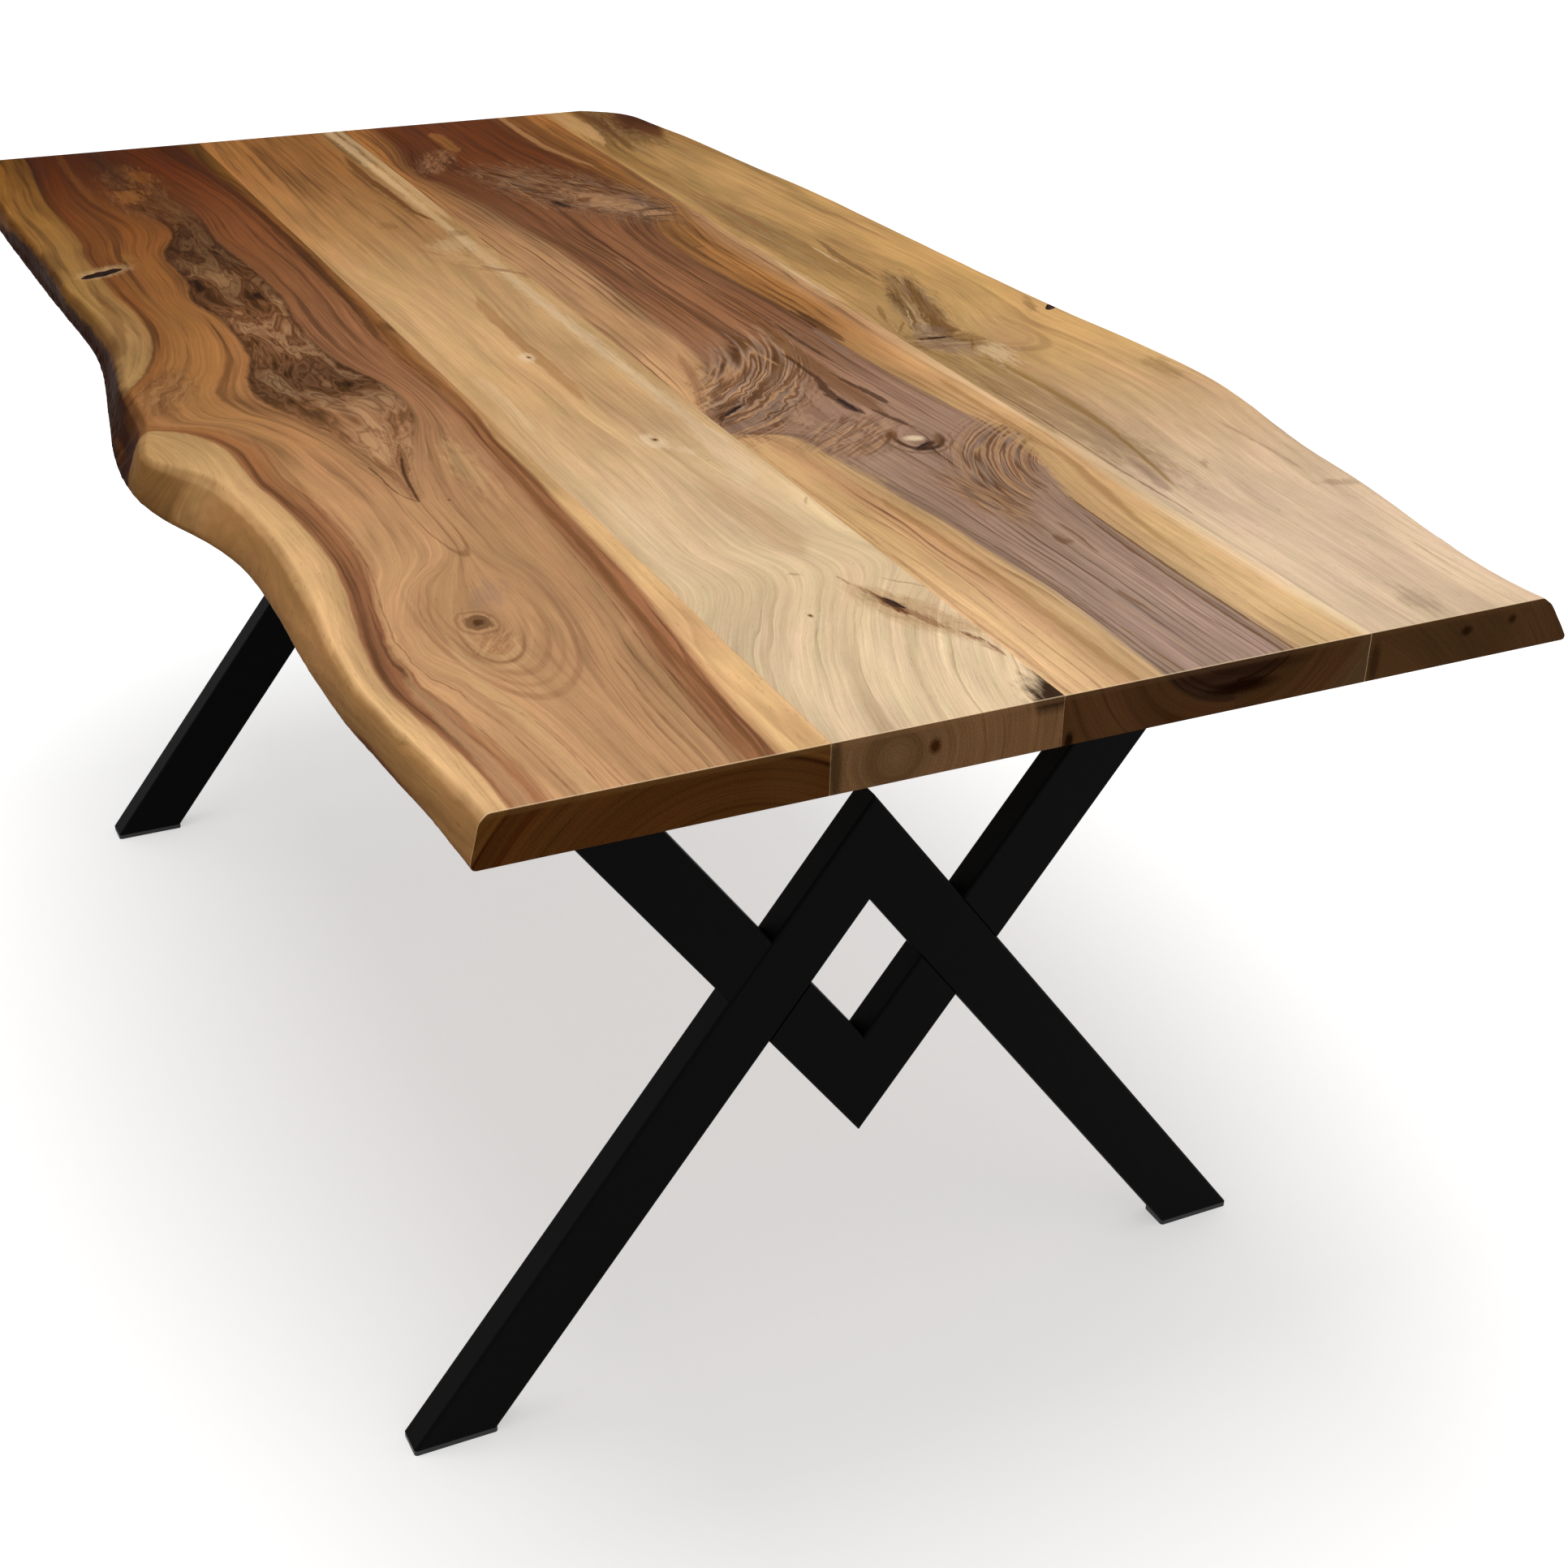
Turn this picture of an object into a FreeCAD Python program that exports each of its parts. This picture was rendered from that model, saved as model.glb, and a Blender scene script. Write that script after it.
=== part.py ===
import FreeCAD, Part
import os

import Sketcher

# Dining table with a live edge walnut top on two welded steel leg frames.
#
# Frame: millimetres, +Z up, origin on the floor under the middle of the top.
# +X runs along the grain to the near end, -Y is the front live edge, +Y the rear one.
# Each leg frame is a flat lattice of box section bars in a plane across the table:
# two long bars run from the feet up to an apex, and two short bars run from the
# mounting plate down to a vertex, crossing the long bars on the way.

V = FreeCAD.Vector

DIMENSIONS = [
    ("table_height", 765, "floor to top surface"),
    ("top_length", 1700, "along the grain"),
    ("top_thickness", 40, "boards"),
    ("front_seam", 180, "front glue line, in front of the centre"),
    ("rear_seam", 262, "rear glue line, behind the centre"),
    ("end_chamfer", 1.5, "eased edge along both sawn ends"),
    ("tenon_span", 50, "loose tenon, across its glue line"),
    ("tenon_breadth", 24, "loose tenon, along the glue line"),
    ("tenon_thickness", 10, "loose tenon"),
    ("tenon_pitch", 280, "between loose tenons"),
    ("tenon_count", 6, "loose tenons in a glue line"),
    ("mortise_clearance", 0.1, "round each tenon"),
    ("frame_half_spacing", 575, "centre of the table to the centre of a leg frame"),
    ("foot_half_spread", 384, "centre of a foot from the middle, at the floor"),
    ("apex_height", 505, "where the long bars' centre lines meet"),
    ("vertex_height", 268, "where the short bars' centre lines meet"),
    ("bar_width", 60, "box section, in the plane of the frame"),
    ("bar_depth", 30, "box section, along the table"),
    ("bar_wall", 2, "box section"),
    ("bar_corner", 3, "outer corner radius of the box section"),
    ("cap_height", 5, "foot cap under the steel"),
    ("cap_corner", 3, "corner radius of the foot cap"),
    ("plug_height", 20, "foot cap inside the bar"),
    ("plug_clearance", 0.3, "between the plug and the bar's walls"),
    ("plate_length", 790, "mounting plate, across the table"),
    ("plate_width", 90, "mounting plate, along the table"),
    ("plate_thickness", 6, "mounting plate"),
    ("plate_corner", 10, "corner radius of the mounting plate"),
    ("slot_width", 9, "bolt slot in the mounting plate"),
    ("slot_travel", 11, "how far a bolt can move in its slot"),
    ("bolt_pitch", 210, "between bolts, across the table"),
    ("bolt_count", 4, "bolts in a row"),
    ("bolt_rows", 2, "rows of bolts, one each side of a leg frame"),
    ("bolt_row_gap", 60, "between the two rows of bolts"),
    ("bolt_diameter", 8, "M8 button head bolt"),
    ("bolt_reach", 22, "under the head"),
    ("head_diameter", 14, "bolt head"),
    ("head_height", 4.4, "bolt head"),
    ("head_rim", 0.9, "straight rim of the bolt head"),
    ("socket_flats", 5, "hexagon socket, across flats"),
    ("socket_depth", 2.6, "hexagon socket"),
    ("washer_diameter", 24, "penny washer"),
    ("washer_bore", 8.4, "penny washer"),
    ("washer_thickness", 2, "penny washer"),
    ("insert_diameter", 12, "threaded insert"),
    ("insert_bore", 8.2, "threaded insert"),
    ("insert_length", 18, "threaded insert"),
    ("insert_hole_depth", 21, "blind hole for the insert"),
    ("insert_clearance", 0.1, "between the insert and its hole"),
]

# The live edges as (x, y at the top face, y at the underside), from near end to far
# end. The edges lean outwards on the way down. The first and last x are moved to the
# sawn ends of the top.
FRONT_EDGE = [
    (850, -424, -434),
    (750, -435, -438),
    (640, -445, -447),
    (500, -433, -447),
    (380, -427, -442),
    (262, -434, -461),
    (218, -448, -477),
    (178, -474, -486),
    (110, -465, -490),
    (0, -456, -477),
    (-114, -439, -457),
    (-215, -437, -444),
    (-330, -447, -445),
    (-470, -445, -449),
    (-590, -451, -451),
    (-720, -446, -451),
    (-850, -436, -442),
]
REAR_EDGE = [
    (850, 431, 457),
    (780, 427, 450),
    (690, 437, 454),
    (595, 451, 464),
    (500, 459, 472),
    (425, 472, 482),
    (350, 483, 489),
    (280, 483, 489),
    (180, 473, 484),
    (60, 459, 474),
    (-90, 448, 465),
    (-260, 437, 455),
    (-402, 427, 445),
    (-544, 409, 426),
    (-690, 393, 409),
    (-775, 379, 394),
    (-822, 362, 376),
    (-850, 322, 336),
]

# Expressions that several pieces share. SLOPE is the sideways run of a bar per unit of
# height, and HALF_CUT is half the width of a bar where it is cut level.
SLOPE = "(dims.foot_half_spread / dims.apex_height)"
HALF_CUT = f"(dims.bar_width / 2 * sqrt(1 + {SLOPE}^2))"
WALL_CUT = f"(dims.bar_wall * sqrt(1 + {SLOPE}^2))"
UNDERSIDE = "(dims.table_height - dims.top_thickness)"
PLATE_BOTTOM = f"({UNDERSIDE} - dims.plate_thickness)"
HEAD_SEAT = f"({PLATE_BOTTOM} - dims.washer_thickness)"
FIRST_BOLT = "(-(dims.bolt_count - 1) / 2 * dims.bolt_pitch)"
FIRST_TENON = "(-(dims.tenon_count - 1) / 2 * dims.tenon_pitch)"

doc = FreeCAD.newDocument("LiveEdgeTable")
dims = doc.addObject("Spreadsheet::Sheet", "dims")
pieces = []


def fill_sheet():
    for row, (alias, value, meaning) in enumerate(DIMENSIONS, start=1):
        dims.set(f"A{row}", alias)
        dims.set(f"B{row}", str(value))
        dims.setAlias(f"B{row}", alias)
        dims.set(f"C{row}", meaning)
    doc.recompute()


def size(alias):
    return float(getattr(dims, alias))


# ---- helpers ---------------------------------------------------------------


def new_body(name, x=None, y=None, z=None):
    """A piece of the table, placed by expressions."""
    body = doc.addObject("PartDesign::Body", name)
    body.Label = name
    for axis, expression in (("x", x), ("y", y), ("z", z)):
        if expression is not None:
            body.setExpression(f"Placement.Base.{axis}", expression)
    pieces.append(body)
    return body


def origin_feature(body, role):
    for feature in body.Origin.OriginFeatures:
        if feature.Role == role:
            return feature
    raise ValueError(f"{body.Label} has no {role}")


def new_sketch(body, name, plane, offset=None):
    """A sketch on an origin plane of its body, raised along its normal by offset."""
    sketch = body.newObject("Sketcher::SketchObject", f"{body.Name}_{name}")
    sketch.AttachmentSupport = [(origin_feature(body, plane), "")]
    sketch.MapMode = "FlatFace"
    if offset is not None:
        sketch.setExpression("AttachmentOffset.Base.z", offset)
    return sketch


def bind(sketch, kind, geometry, position, expression):
    """Tie one coordinate of a point in the sketch to an expression."""
    start = evaluate(expression)
    index = sketch.addConstraint(
        Sketcher.Constraint(kind, -1, 1, geometry, position, start))
    sketch.setExpression(f"Constraints[{index}]", expression)


def evaluate(expression):
    return float(dims.evalExpression(expression.replace("dims.", "")))


def bind_point(sketch, geometry, position, x, y):
    bind(sketch, "DistanceX", geometry, position, x)
    bind(sketch, "DistanceY", geometry, position, y)


def add_polygon(sketch, corners):
    """A closed outline through corners, each an (x, y) pair of expressions."""
    points = [V(evaluate(x), evaluate(y), 0) for x, y in corners]
    count = len(points)
    first = sketch.GeometryCount
    for index in range(count):
        end = points[(index + 1) % count]
        sketch.addGeometry(Part.LineSegment(points[index], end))
    for index in range(count):
        following = first + (index + 1) % count
        sketch.addConstraint(
            Sketcher.Constraint("Coincident", first + index, 2, following, 1))
    for index, (x, y) in enumerate(corners):
        bind_point(sketch, first + index, 1, x, y)


def add_rectangle(sketch, x_low, x_high, y_low, y_high):
    add_polygon(sketch, [(x_low, y_low), (x_high, y_low), (x_high, y_high), (x_low, y_high)])


def add_circle(sketch, x, y, diameter):
    centre = V(evaluate(x), evaluate(y), 0)
    circle = Part.Circle(centre, V(0, 0, 1), evaluate(diameter) / 2)
    geometry = sketch.addGeometry(circle)
    bind_point(sketch, geometry, 3, x, y)
    index = sketch.addConstraint(
        Sketcher.Constraint("Diameter", geometry, evaluate(diameter)))
    sketch.setExpression(f"Constraints[{index}]", diameter)


def add_slot(sketch, start, end, radius):
    """A slot with round ends, between two centres given as pairs of expressions."""
    first_centre = V(evaluate(start[0]), evaluate(start[1]), 0)
    last_centre = V(evaluate(end[0]), evaluate(end[1]), 0)
    reach = evaluate(radius)
    along = (last_centre - first_centre).normalize()
    side = V(-along.y, along.x, 0) * reach
    outlines = [
        Part.Arc(first_centre + side, first_centre - along * reach, first_centre - side),
        Part.LineSegment(first_centre - side, last_centre - side),
        Part.Arc(last_centre - side, last_centre + along * reach, last_centre + side),
        Part.LineSegment(last_centre + side, first_centre + side),
    ]
    arc_in, lower, arc_out, upper = [sketch.addGeometry(outline) for outline in outlines]
    joins = [(arc_in, 2, lower, 1), (lower, 2, arc_out, 1),
             (arc_out, 2, upper, 1), (upper, 2, arc_in, 1)]
    for join in joins:
        sketch.addConstraint(Sketcher.Constraint("Tangent", *join))
    sketch.addConstraint(Sketcher.Constraint("Equal", arc_in, arc_out))
    index = sketch.addConstraint(Sketcher.Constraint("Radius", arc_in, reach))
    sketch.setExpression(f"Constraints[{index}]", radius)
    bind_point(sketch, arc_in, 3, *start)
    bind_point(sketch, arc_out, 3, *end)


def add_feature(body, kind, name, sketch, length, both_ways=False):
    """A Pad or Pocket of a sketch, and a check that it changed the solid."""
    before = body.Shape.Volume if body.Shape.Solids else 0.0
    feature = body.newObject(f"PartDesign::{kind}", f"{body.Name}_{name}")
    feature.Profile = sketch
    feature.SideType = "Symmetric" if both_ways else "One side"
    feature.Length = evaluate(length)
    feature.setExpression("Length", length)
    doc.recompute()
    if abs(body.Shape.Volume - before) < 1.0:
        feature.Reversed = True
        doc.recompute()
    if abs(body.Shape.Volume - before) < 1.0:
        raise ValueError(f"{feature.Name} changes nothing")
    return feature


def new_row(body, role, pitch, count, name):
    """A linear pattern along an origin axis. It repeats nothing by itself yet."""
    row = body.newObject("PartDesign::LinearPattern", f"{body.Name}_{name}")
    row.Direction = (origin_feature(body, role), [""])
    row.Mode = "Spacing"
    row.setExpression("Offset", pitch)
    row.setExpression("Occurrences", count)
    return row


def add_row(body, originals, role, pitch, count, name):
    """Repeat features in one row."""
    row = new_row(body, role, pitch, count, name)
    row.Originals = originals
    body.Tip = row
    doc.recompute()


def add_grid(body, originals, first, second):
    """Repeat features in rows and columns, each given as (role, pitch, count)."""
    grid = body.newObject("PartDesign::MultiTransform", f"{body.Name}_grid")
    grid.Originals = originals
    grid.Transformations = [new_row(body, *first, "rows"), new_row(body, *second, "columns")]
    body.Tip = grid
    doc.recompute()


def dress_edges(body, kind, name, amount, wanted):
    """A Fillet or Chamfer on every edge of the body that wanted accepts."""
    base = body.Tip
    names = [f"Edge{index}" for index, edge in enumerate(base.Shape.Edges, start=1)
             if wanted(edge)]
    feature = body.newObject(f"PartDesign::{kind}", f"{body.Name}_{name}")
    feature.Base = (base, names)
    parameter = "Radius" if kind == "Fillet" else "Size"
    feature.setExpression(parameter, amount)
    body.Tip = feature
    doc.recompute()
    return feature


def edge_ends(edge):
    """Both ends of an edge, in its body's own frame."""
    return edge.valueAt(edge.FirstParameter), edge.valueAt(edge.LastParameter)


# ---- tabletop ----------------------------------------------------------------


def ease_ends(body):
    """Chamfer the upper and lower edges of both sawn ends."""
    sketch = new_sketch(body, "end_chamfers", "XZ_Plane")
    half = "dims.top_length / 2"
    leg = "dims.end_chamfer"
    for x_side in ("-", ""):
        for z_face, z_way in (("0", "-"), ("dims.top_thickness", "+")):
            # Each cutter stands clear of the board by the size of the chamfer.
            add_polygon(sketch, [
                (f"{x_side}({half} - 2 * {leg})", f"{z_face} {z_way} {leg}"),
                (f"{x_side}({half} + {leg})", f"{z_face} - ({z_way}2 * {leg})"),
                (f"{x_side}({half} + {leg})", f"{z_face} {z_way} {leg}"),
            ])
    add_feature(body, "Pocket", "eased_ends", sketch, "dims.top_length", both_ways=True)


def add_mortises(body, name, seam, into_front):
    """A row of mortises for loose tenons, cut into one edge of a board."""
    middle = "dims.top_thickness / 2"
    radius = "dims.tenon_thickness / 2 + dims.mortise_clearance"
    half = "(dims.tenon_breadth - dims.tenon_thickness) / 2"
    # The plane's normal is -Y, so a seam at +Y is at a negative offset.
    sketch = new_sketch(body, f"{name}_outline", "XZ_Plane", f"-({seam})")
    add_slot(sketch, (f"{FIRST_TENON} - {half}", middle),
             (f"{FIRST_TENON} + {half}", middle), radius)
    before = body.Shape.Volume
    pocket = body.newObject("PartDesign::Pocket", f"{body.Name}_{name}")
    pocket.Profile = sketch
    pocket.setExpression("Length", "dims.tenon_span / 2 + dims.mortise_clearance")
    # A pocket cuts against its sketch's normal, which here is towards +Y.
    pocket.Reversed = into_front
    doc.recompute()
    if body.Shape.Volume > before - 1.0:
        raise ValueError(f"{pocket.Name} cuts nothing")
    add_row(body, [pocket], "X_Axis", "dims.tenon_pitch", "dims.tenon_count", f"{name}_row")


def add_insert_holes(body, y):
    """Four blind holes in the underside, two over each leg frame."""
    sketch = new_sketch(body, "insert_centres", "XY_Plane")
    diameter = "dims.insert_diameter + 2 * dims.insert_clearance"
    for frame_side in ("-", ""):
        for row_side in ("-", "+"):
            x = f"{frame_side}dims.frame_half_spacing {row_side} dims.bolt_row_gap / 2"
            add_circle(sketch, x, y, diameter)
    add_feature(body, "Pocket", "insert_holes", sketch, "dims.insert_hole_depth")


def finish_board(body, front_mortises, rear_mortises, insert_y):
    """Joinery and eased ends that every board has."""
    ease_ends(body)
    add_insert_holes(body, insert_y)
    if front_mortises is not None:
        add_mortises(body, "front_mortise", front_mortises, False)
    if rear_mortises is not None:
        add_mortises(body, "rear_mortise", rear_mortises, True)


def make_inner_board(name, y_low, y_high, insert_y):
    body = new_body(name, z=UNDERSIDE)
    sketch = new_sketch(body, "outline", "XY_Plane")
    add_rectangle(sketch, "-dims.top_length / 2", "dims.top_length / 2", y_low, y_high)
    add_feature(body, "Pad", "blank", sketch, "dims.top_thickness")
    finish_board(body, y_low, y_high, insert_y)


def add_live_outline(sketch, edge_points, seam):
    """A board's outline: a straight glue line, two sawn ends and a wavy live edge."""
    half = size("top_length") / 2
    points = [V(x, y, 0) for x, y in edge_points]
    points[0].x = half
    points[-1].x = -half
    # Both outlines of a board share their parameters, so the side between them doesn't twist.
    wave = Part.BSplineCurve()
    wave.interpolate(Points=points, Parameters=[half - point.x for point in points])
    seam_y = evaluate(seam)
    near = V(half, seam_y, 0)
    far = V(-half, seam_y, 0)
    live = sketch.addGeometry(wave)
    far_end = sketch.addGeometry(Part.LineSegment(points[-1], far))
    glue_line = sketch.addGeometry(Part.LineSegment(far, near))
    near_end = sketch.addGeometry(Part.LineSegment(near, points[0]))
    loop = [live, far_end, glue_line, near_end]
    for index, geometry in enumerate(loop):
        following = loop[(index + 1) % len(loop)]
        sketch.addConstraint(Sketcher.Constraint("Coincident", geometry, 2, following, 1))
    bind_point(sketch, glue_line, 1, "-dims.top_length / 2", seam)
    bind_point(sketch, glue_line, 2, "dims.top_length / 2", seam)
    bind(sketch, "DistanceX", live, 1, "dims.top_length / 2")
    bind(sketch, "DistanceX", live, 2, "-dims.top_length / 2")


def make_live_board(name, edge, seam, is_front, insert_y):
    body = new_body(name, z=UNDERSIDE)
    under = new_sketch(body, "underside_outline", "XY_Plane")
    add_live_outline(under, [(x, y_under) for x, y_top, y_under in edge], seam)
    upper = new_sketch(body, "top_outline", "XY_Plane", "dims.top_thickness")
    add_live_outline(upper, [(x, y_top) for x, y_top, y_under in edge], seam)
    blank = body.newObject("PartDesign::AdditiveLoft", f"{name}_blank")
    blank.Profile = under
    blank.Sections = [upper]
    blank.Ruled = True
    doc.recompute()
    if is_front:
        finish_board(body, None, seam, insert_y)
    else:
        finish_board(body, seam, None, insert_y)


def make_tenons(name, seam):
    """A row of loose tenons, half in each of the boards that they join."""
    body = new_body(name, y=seam, z=f"{UNDERSIDE} + dims.top_thickness / 2")
    body.AllowCompound = True
    half = "(dims.tenon_breadth - dims.tenon_thickness) / 2"
    sketch = new_sketch(body, "section", "XZ_Plane")
    add_slot(sketch, (f"{FIRST_TENON} - {half}", "0"), (f"{FIRST_TENON} + {half}", "0"),
             "dims.tenon_thickness / 2")
    tenon = add_feature(body, "Pad", "tenon", sketch, "dims.tenon_span", both_ways=True)
    add_row(body, [tenon], "X_Axis", "dims.tenon_pitch", "dims.tenon_count", "row")


# ---- leg frames ----------------------------------------------------------------


def line_y(start, direction, height, shift):
    """Sideways place of a bar's edge line at a height, as an expression."""
    return f"({start} {direction} {SLOPE} * {height} {shift})"


def long_bar_corners(trim):
    """Outline of the front long bar, cut level at the foot and upright at the apex."""
    foot = "-dims.foot_half_spread"
    cut = f"({HALF_CUT} - {trim})"
    bottom = "dims.cap_height"
    return [
        (line_y(foot, "+", bottom, f"- {cut}"), bottom),
        (line_y(foot, "+", bottom, f"+ {cut}"), bottom),
        ("0", f"(dims.foot_half_spread - {cut}) / {SLOPE}"),
        ("0", f"(dims.foot_half_spread + {cut}) / {SLOPE}"),
    ]


def meeting_point(short_shift, long_shift):
    """Where an edge of the front short bar meets an edge of the front long bar."""
    crown = f"({SLOPE} * dims.vertex_height)"
    height = f"((dims.foot_half_spread + {crown} {short_shift} - ({long_shift})) / (2 * {SLOPE}))"
    return line_y(crown, "-", height, short_shift), height


def upper_short_corners(trim):
    """Outline of the front short bar above the long bar, down from the plate."""
    crown = f"({SLOPE} * dims.vertex_height)"
    cut = f"({HALF_CUT} - {trim})"
    outer_face = f"-{HALF_CUT}"
    return [
        (line_y(crown, "-", PLATE_BOTTOM, f"- {cut}"), PLATE_BOTTOM),
        meeting_point(f"- {cut}", outer_face),
        meeting_point(f"+ {cut}", outer_face),
        (line_y(crown, "-", PLATE_BOTTOM, f"+ {cut}"), PLATE_BOTTOM),
    ]


def lower_short_corners(trim):
    """Outline of the front short bar below the long bar, down to the vertex."""
    crown = f"({SLOPE} * dims.vertex_height)"
    cut = f"({HALF_CUT} - {trim})"
    inner_face = HALF_CUT
    return [
        meeting_point(f"- {cut}", inner_face),
        ("0", f"({crown} - {cut}) / {SLOPE}"),
        ("0", f"({crown} + {cut}) / {SLOPE}"),
        meeting_point(f"+ {cut}", inner_face),
    ]


def is_long_corner(edge, lean):
    """True for an outer corner edge along a bar that leans to +Y (1) or to -Y (-1)."""
    first, last = edge_ends(edge)
    half_depth = size("bar_depth") / 2
    outside = abs(abs(first.x) - half_depth) < 0.01 and abs(first.x - last.x) < 0.01
    run = last.y - first.y
    rise = last.z - first.z
    slope = lean * size("foot_half_spread") / size("apex_height")
    return outside and abs(rise) > 1.0 and abs(run - slope * rise) < 0.01


def make_bar(name, frame_x, side, corners, lean):
    """A hollow bar from its outline in the plane of the frame. side -1 is the front."""
    mirror = "" if side < 0 else "-"
    body = new_body(name, x=frame_x)
    outline = new_sketch(body, "outline", "YZ_Plane")
    add_polygon(outline, [(f"{mirror}({y})", z) for y, z in corners("0")])
    add_feature(body, "Pad", "bar", outline, "dims.bar_depth", both_ways=True)
    hollow = new_sketch(body, "hollow_outline", "YZ_Plane")
    add_polygon(hollow, [(f"{mirror}({y})", z) for y, z in corners(WALL_CUT)])
    add_feature(body, "Pocket", "hollow", hollow, "dims.bar_depth - 2 * dims.bar_wall",
                both_ways=True)
    dress_edges(body, "Fillet", "corners", "dims.bar_corner",
                lambda edge: is_long_corner(edge, -side * lean))


def make_foot_cap(name, frame_x, side):
    """A plastic foot: a sole under the steel and a plug up inside the bar."""
    mirror = "" if side < 0 else "-"
    body = new_body(name, x=frame_x)
    foot = "-dims.foot_half_spread"
    bottom = "dims.cap_height"
    low = line_y(foot, "+", bottom, f"- {HALF_CUT}")
    high = line_y(foot, "+", bottom, f"+ {HALF_CUT}")
    sole = new_sketch(body, "sole_outline", "XY_Plane")
    add_rectangle(sole, "-dims.bar_depth / 2", "dims.bar_depth / 2",
                  f"{mirror}({low})", f"{mirror}({high})")
    add_feature(body, "Pad", "sole", sole, "dims.cap_height")
    dress_edges(body, "Fillet", "sole_corners", "dims.cap_corner", is_upright)
    inset = f"({HALF_CUT} - {WALL_CUT} - dims.plug_clearance)"
    top = "(dims.cap_height + dims.plug_height)"
    plug_corners = [
        (line_y(foot, "+", bottom, f"- {inset}"), bottom),
        (line_y(foot, "+", bottom, f"+ {inset}"), bottom),
        (line_y(foot, "+", top, f"+ {inset}"), top),
        (line_y(foot, "+", top, f"- {inset}"), top),
    ]
    plug = new_sketch(body, "plug_outline", "YZ_Plane")
    add_polygon(plug, [(f"{mirror}({y})", z) for y, z in plug_corners])
    add_feature(body, "Pad", "plug", plug,
                "dims.bar_depth - 2 * dims.bar_wall - 2 * dims.plug_clearance",
                both_ways=True)


def is_upright(edge):
    """True for an edge that runs straight up."""
    first, last = edge_ends(edge)
    return abs(first.x - last.x) < 0.01 and abs(first.y - last.y) < 0.01


def make_mounting_plate(name, frame_x):
    """The flat plate on top of a leg frame, slotted so that the top can swell."""
    body = new_body(name, x=frame_x, z=PLATE_BOTTOM)
    outline = new_sketch(body, "outline", "XY_Plane")
    add_rectangle(outline, "-dims.plate_width / 2", "dims.plate_width / 2",
                  "-dims.plate_length / 2", "dims.plate_length / 2")
    add_feature(body, "Pad", "blank", outline, "dims.plate_thickness")
    dress_edges(body, "Fillet", "corners", "dims.plate_corner", is_upright)
    slot = new_sketch(body, "slot_outline", "XY_Plane")
    x = "-dims.bolt_row_gap / 2"
    add_slot(slot, (x, f"{FIRST_BOLT} - dims.slot_travel / 2"),
             (x, f"{FIRST_BOLT} + dims.slot_travel / 2"), "dims.slot_width / 2")
    cut = add_feature(body, "Pocket", "slot", slot, "dims.plate_thickness")
    add_bolt_grid(body, [cut])


# ---- fasteners ----------------------------------------------------------------


def add_bolt_grid(body, originals):
    """Repeat features at every bolt of a leg frame, from the first bolt's place."""
    add_grid(body, originals, ("Y_Axis", "dims.bolt_pitch", "dims.bolt_count"),
             ("X_Axis", "dims.bolt_row_gap", "dims.bolt_rows"))


def new_fastener_body(name, frame_x, base):
    """A body whose origin is at the first bolt of a leg frame."""
    body = new_body(name, x=f"{frame_x} - dims.bolt_row_gap / 2", y=FIRST_BOLT, z=base)
    body.AllowCompound = True
    return body


def make_bolts(name, frame_x):
    """Button head bolts, head down, with a hexagon socket."""
    body = new_fastener_body(name, frame_x, HEAD_SEAT)
    radius = size("head_diameter") / 2
    rim = size("head_rim")
    height = size("head_height")
    crown = V(radius * 0.42, -height, 0)
    shoulder = V(radius * 0.8, -(height + rim) / 2 - 0.5, 0)
    edge = V(radius, -rim, 0)
    shank = size("bolt_diameter") / 2
    reach = size("bolt_reach")
    profile = new_sketch(body, "profile", "XZ_Plane")
    outline = [
        Part.LineSegment(V(0, -height, 0), crown),
        Part.Arc(crown, shoulder, edge),
        Part.LineSegment(edge, V(radius, 0, 0)),
        Part.LineSegment(V(radius, 0, 0), V(shank, 0, 0)),
        Part.LineSegment(V(shank, 0, 0), V(shank, reach, 0)),
        Part.LineSegment(V(shank, reach, 0), V(0, reach, 0)),
        Part.LineSegment(V(0, reach, 0), V(0, -height, 0)),
    ]
    lines = [profile.addGeometry(piece) for piece in outline]
    for index, geometry in enumerate(lines):
        following = lines[(index + 1) % len(lines)]
        profile.addConstraint(
            Sketcher.Constraint("Coincident", geometry, 2, following, 1))
    bind_point(profile, lines[0], 1, "0", "-dims.head_height")
    bind_point(profile, lines[2], 1, "dims.head_diameter / 2", "-dims.head_rim")
    bind_point(profile, lines[3], 1, "dims.head_diameter / 2", "0")
    bind_point(profile, lines[4], 1, "dims.bolt_diameter / 2", "0")
    bind_point(profile, lines[5], 1, "dims.bolt_diameter / 2", "dims.bolt_reach")
    bind_point(profile, lines[6], 1, "0", "dims.bolt_reach")
    turned = body.newObject("PartDesign::Revolution", f"{name}_turned")
    turned.Profile = profile
    turned.ReferenceAxis = (profile, ["V_Axis"])
    doc.recompute()
    socket = new_sketch(body, "socket_outline", "XY_Plane", "-dims.head_height")
    across_corners = "dims.socket_flats / 2 / cos(30deg)"
    add_polygon(socket, [(f"{across_corners} * cos({turn}deg)", f"{across_corners} * sin({turn}deg)")
                         for turn in range(0, 360, 60)])
    cut = add_feature(body, "Pocket", "socket", socket, "dims.socket_depth")
    add_bolt_grid(body, [turned, cut])


def make_ring(name, frame_x, base, outer, bore, height):
    """Washers or threaded inserts: a plain ring at every bolt."""
    body = new_fastener_body(name, frame_x, base)
    section = new_sketch(body, "section", "XY_Plane")
    add_circle(section, "0", "0", outer)
    add_circle(section, "0", "0", bore)
    ring = add_feature(body, "Pad", "ring", section, height)
    add_bolt_grid(body, [ring])


# ---- assembly ----------------------------------------------------------------


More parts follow.
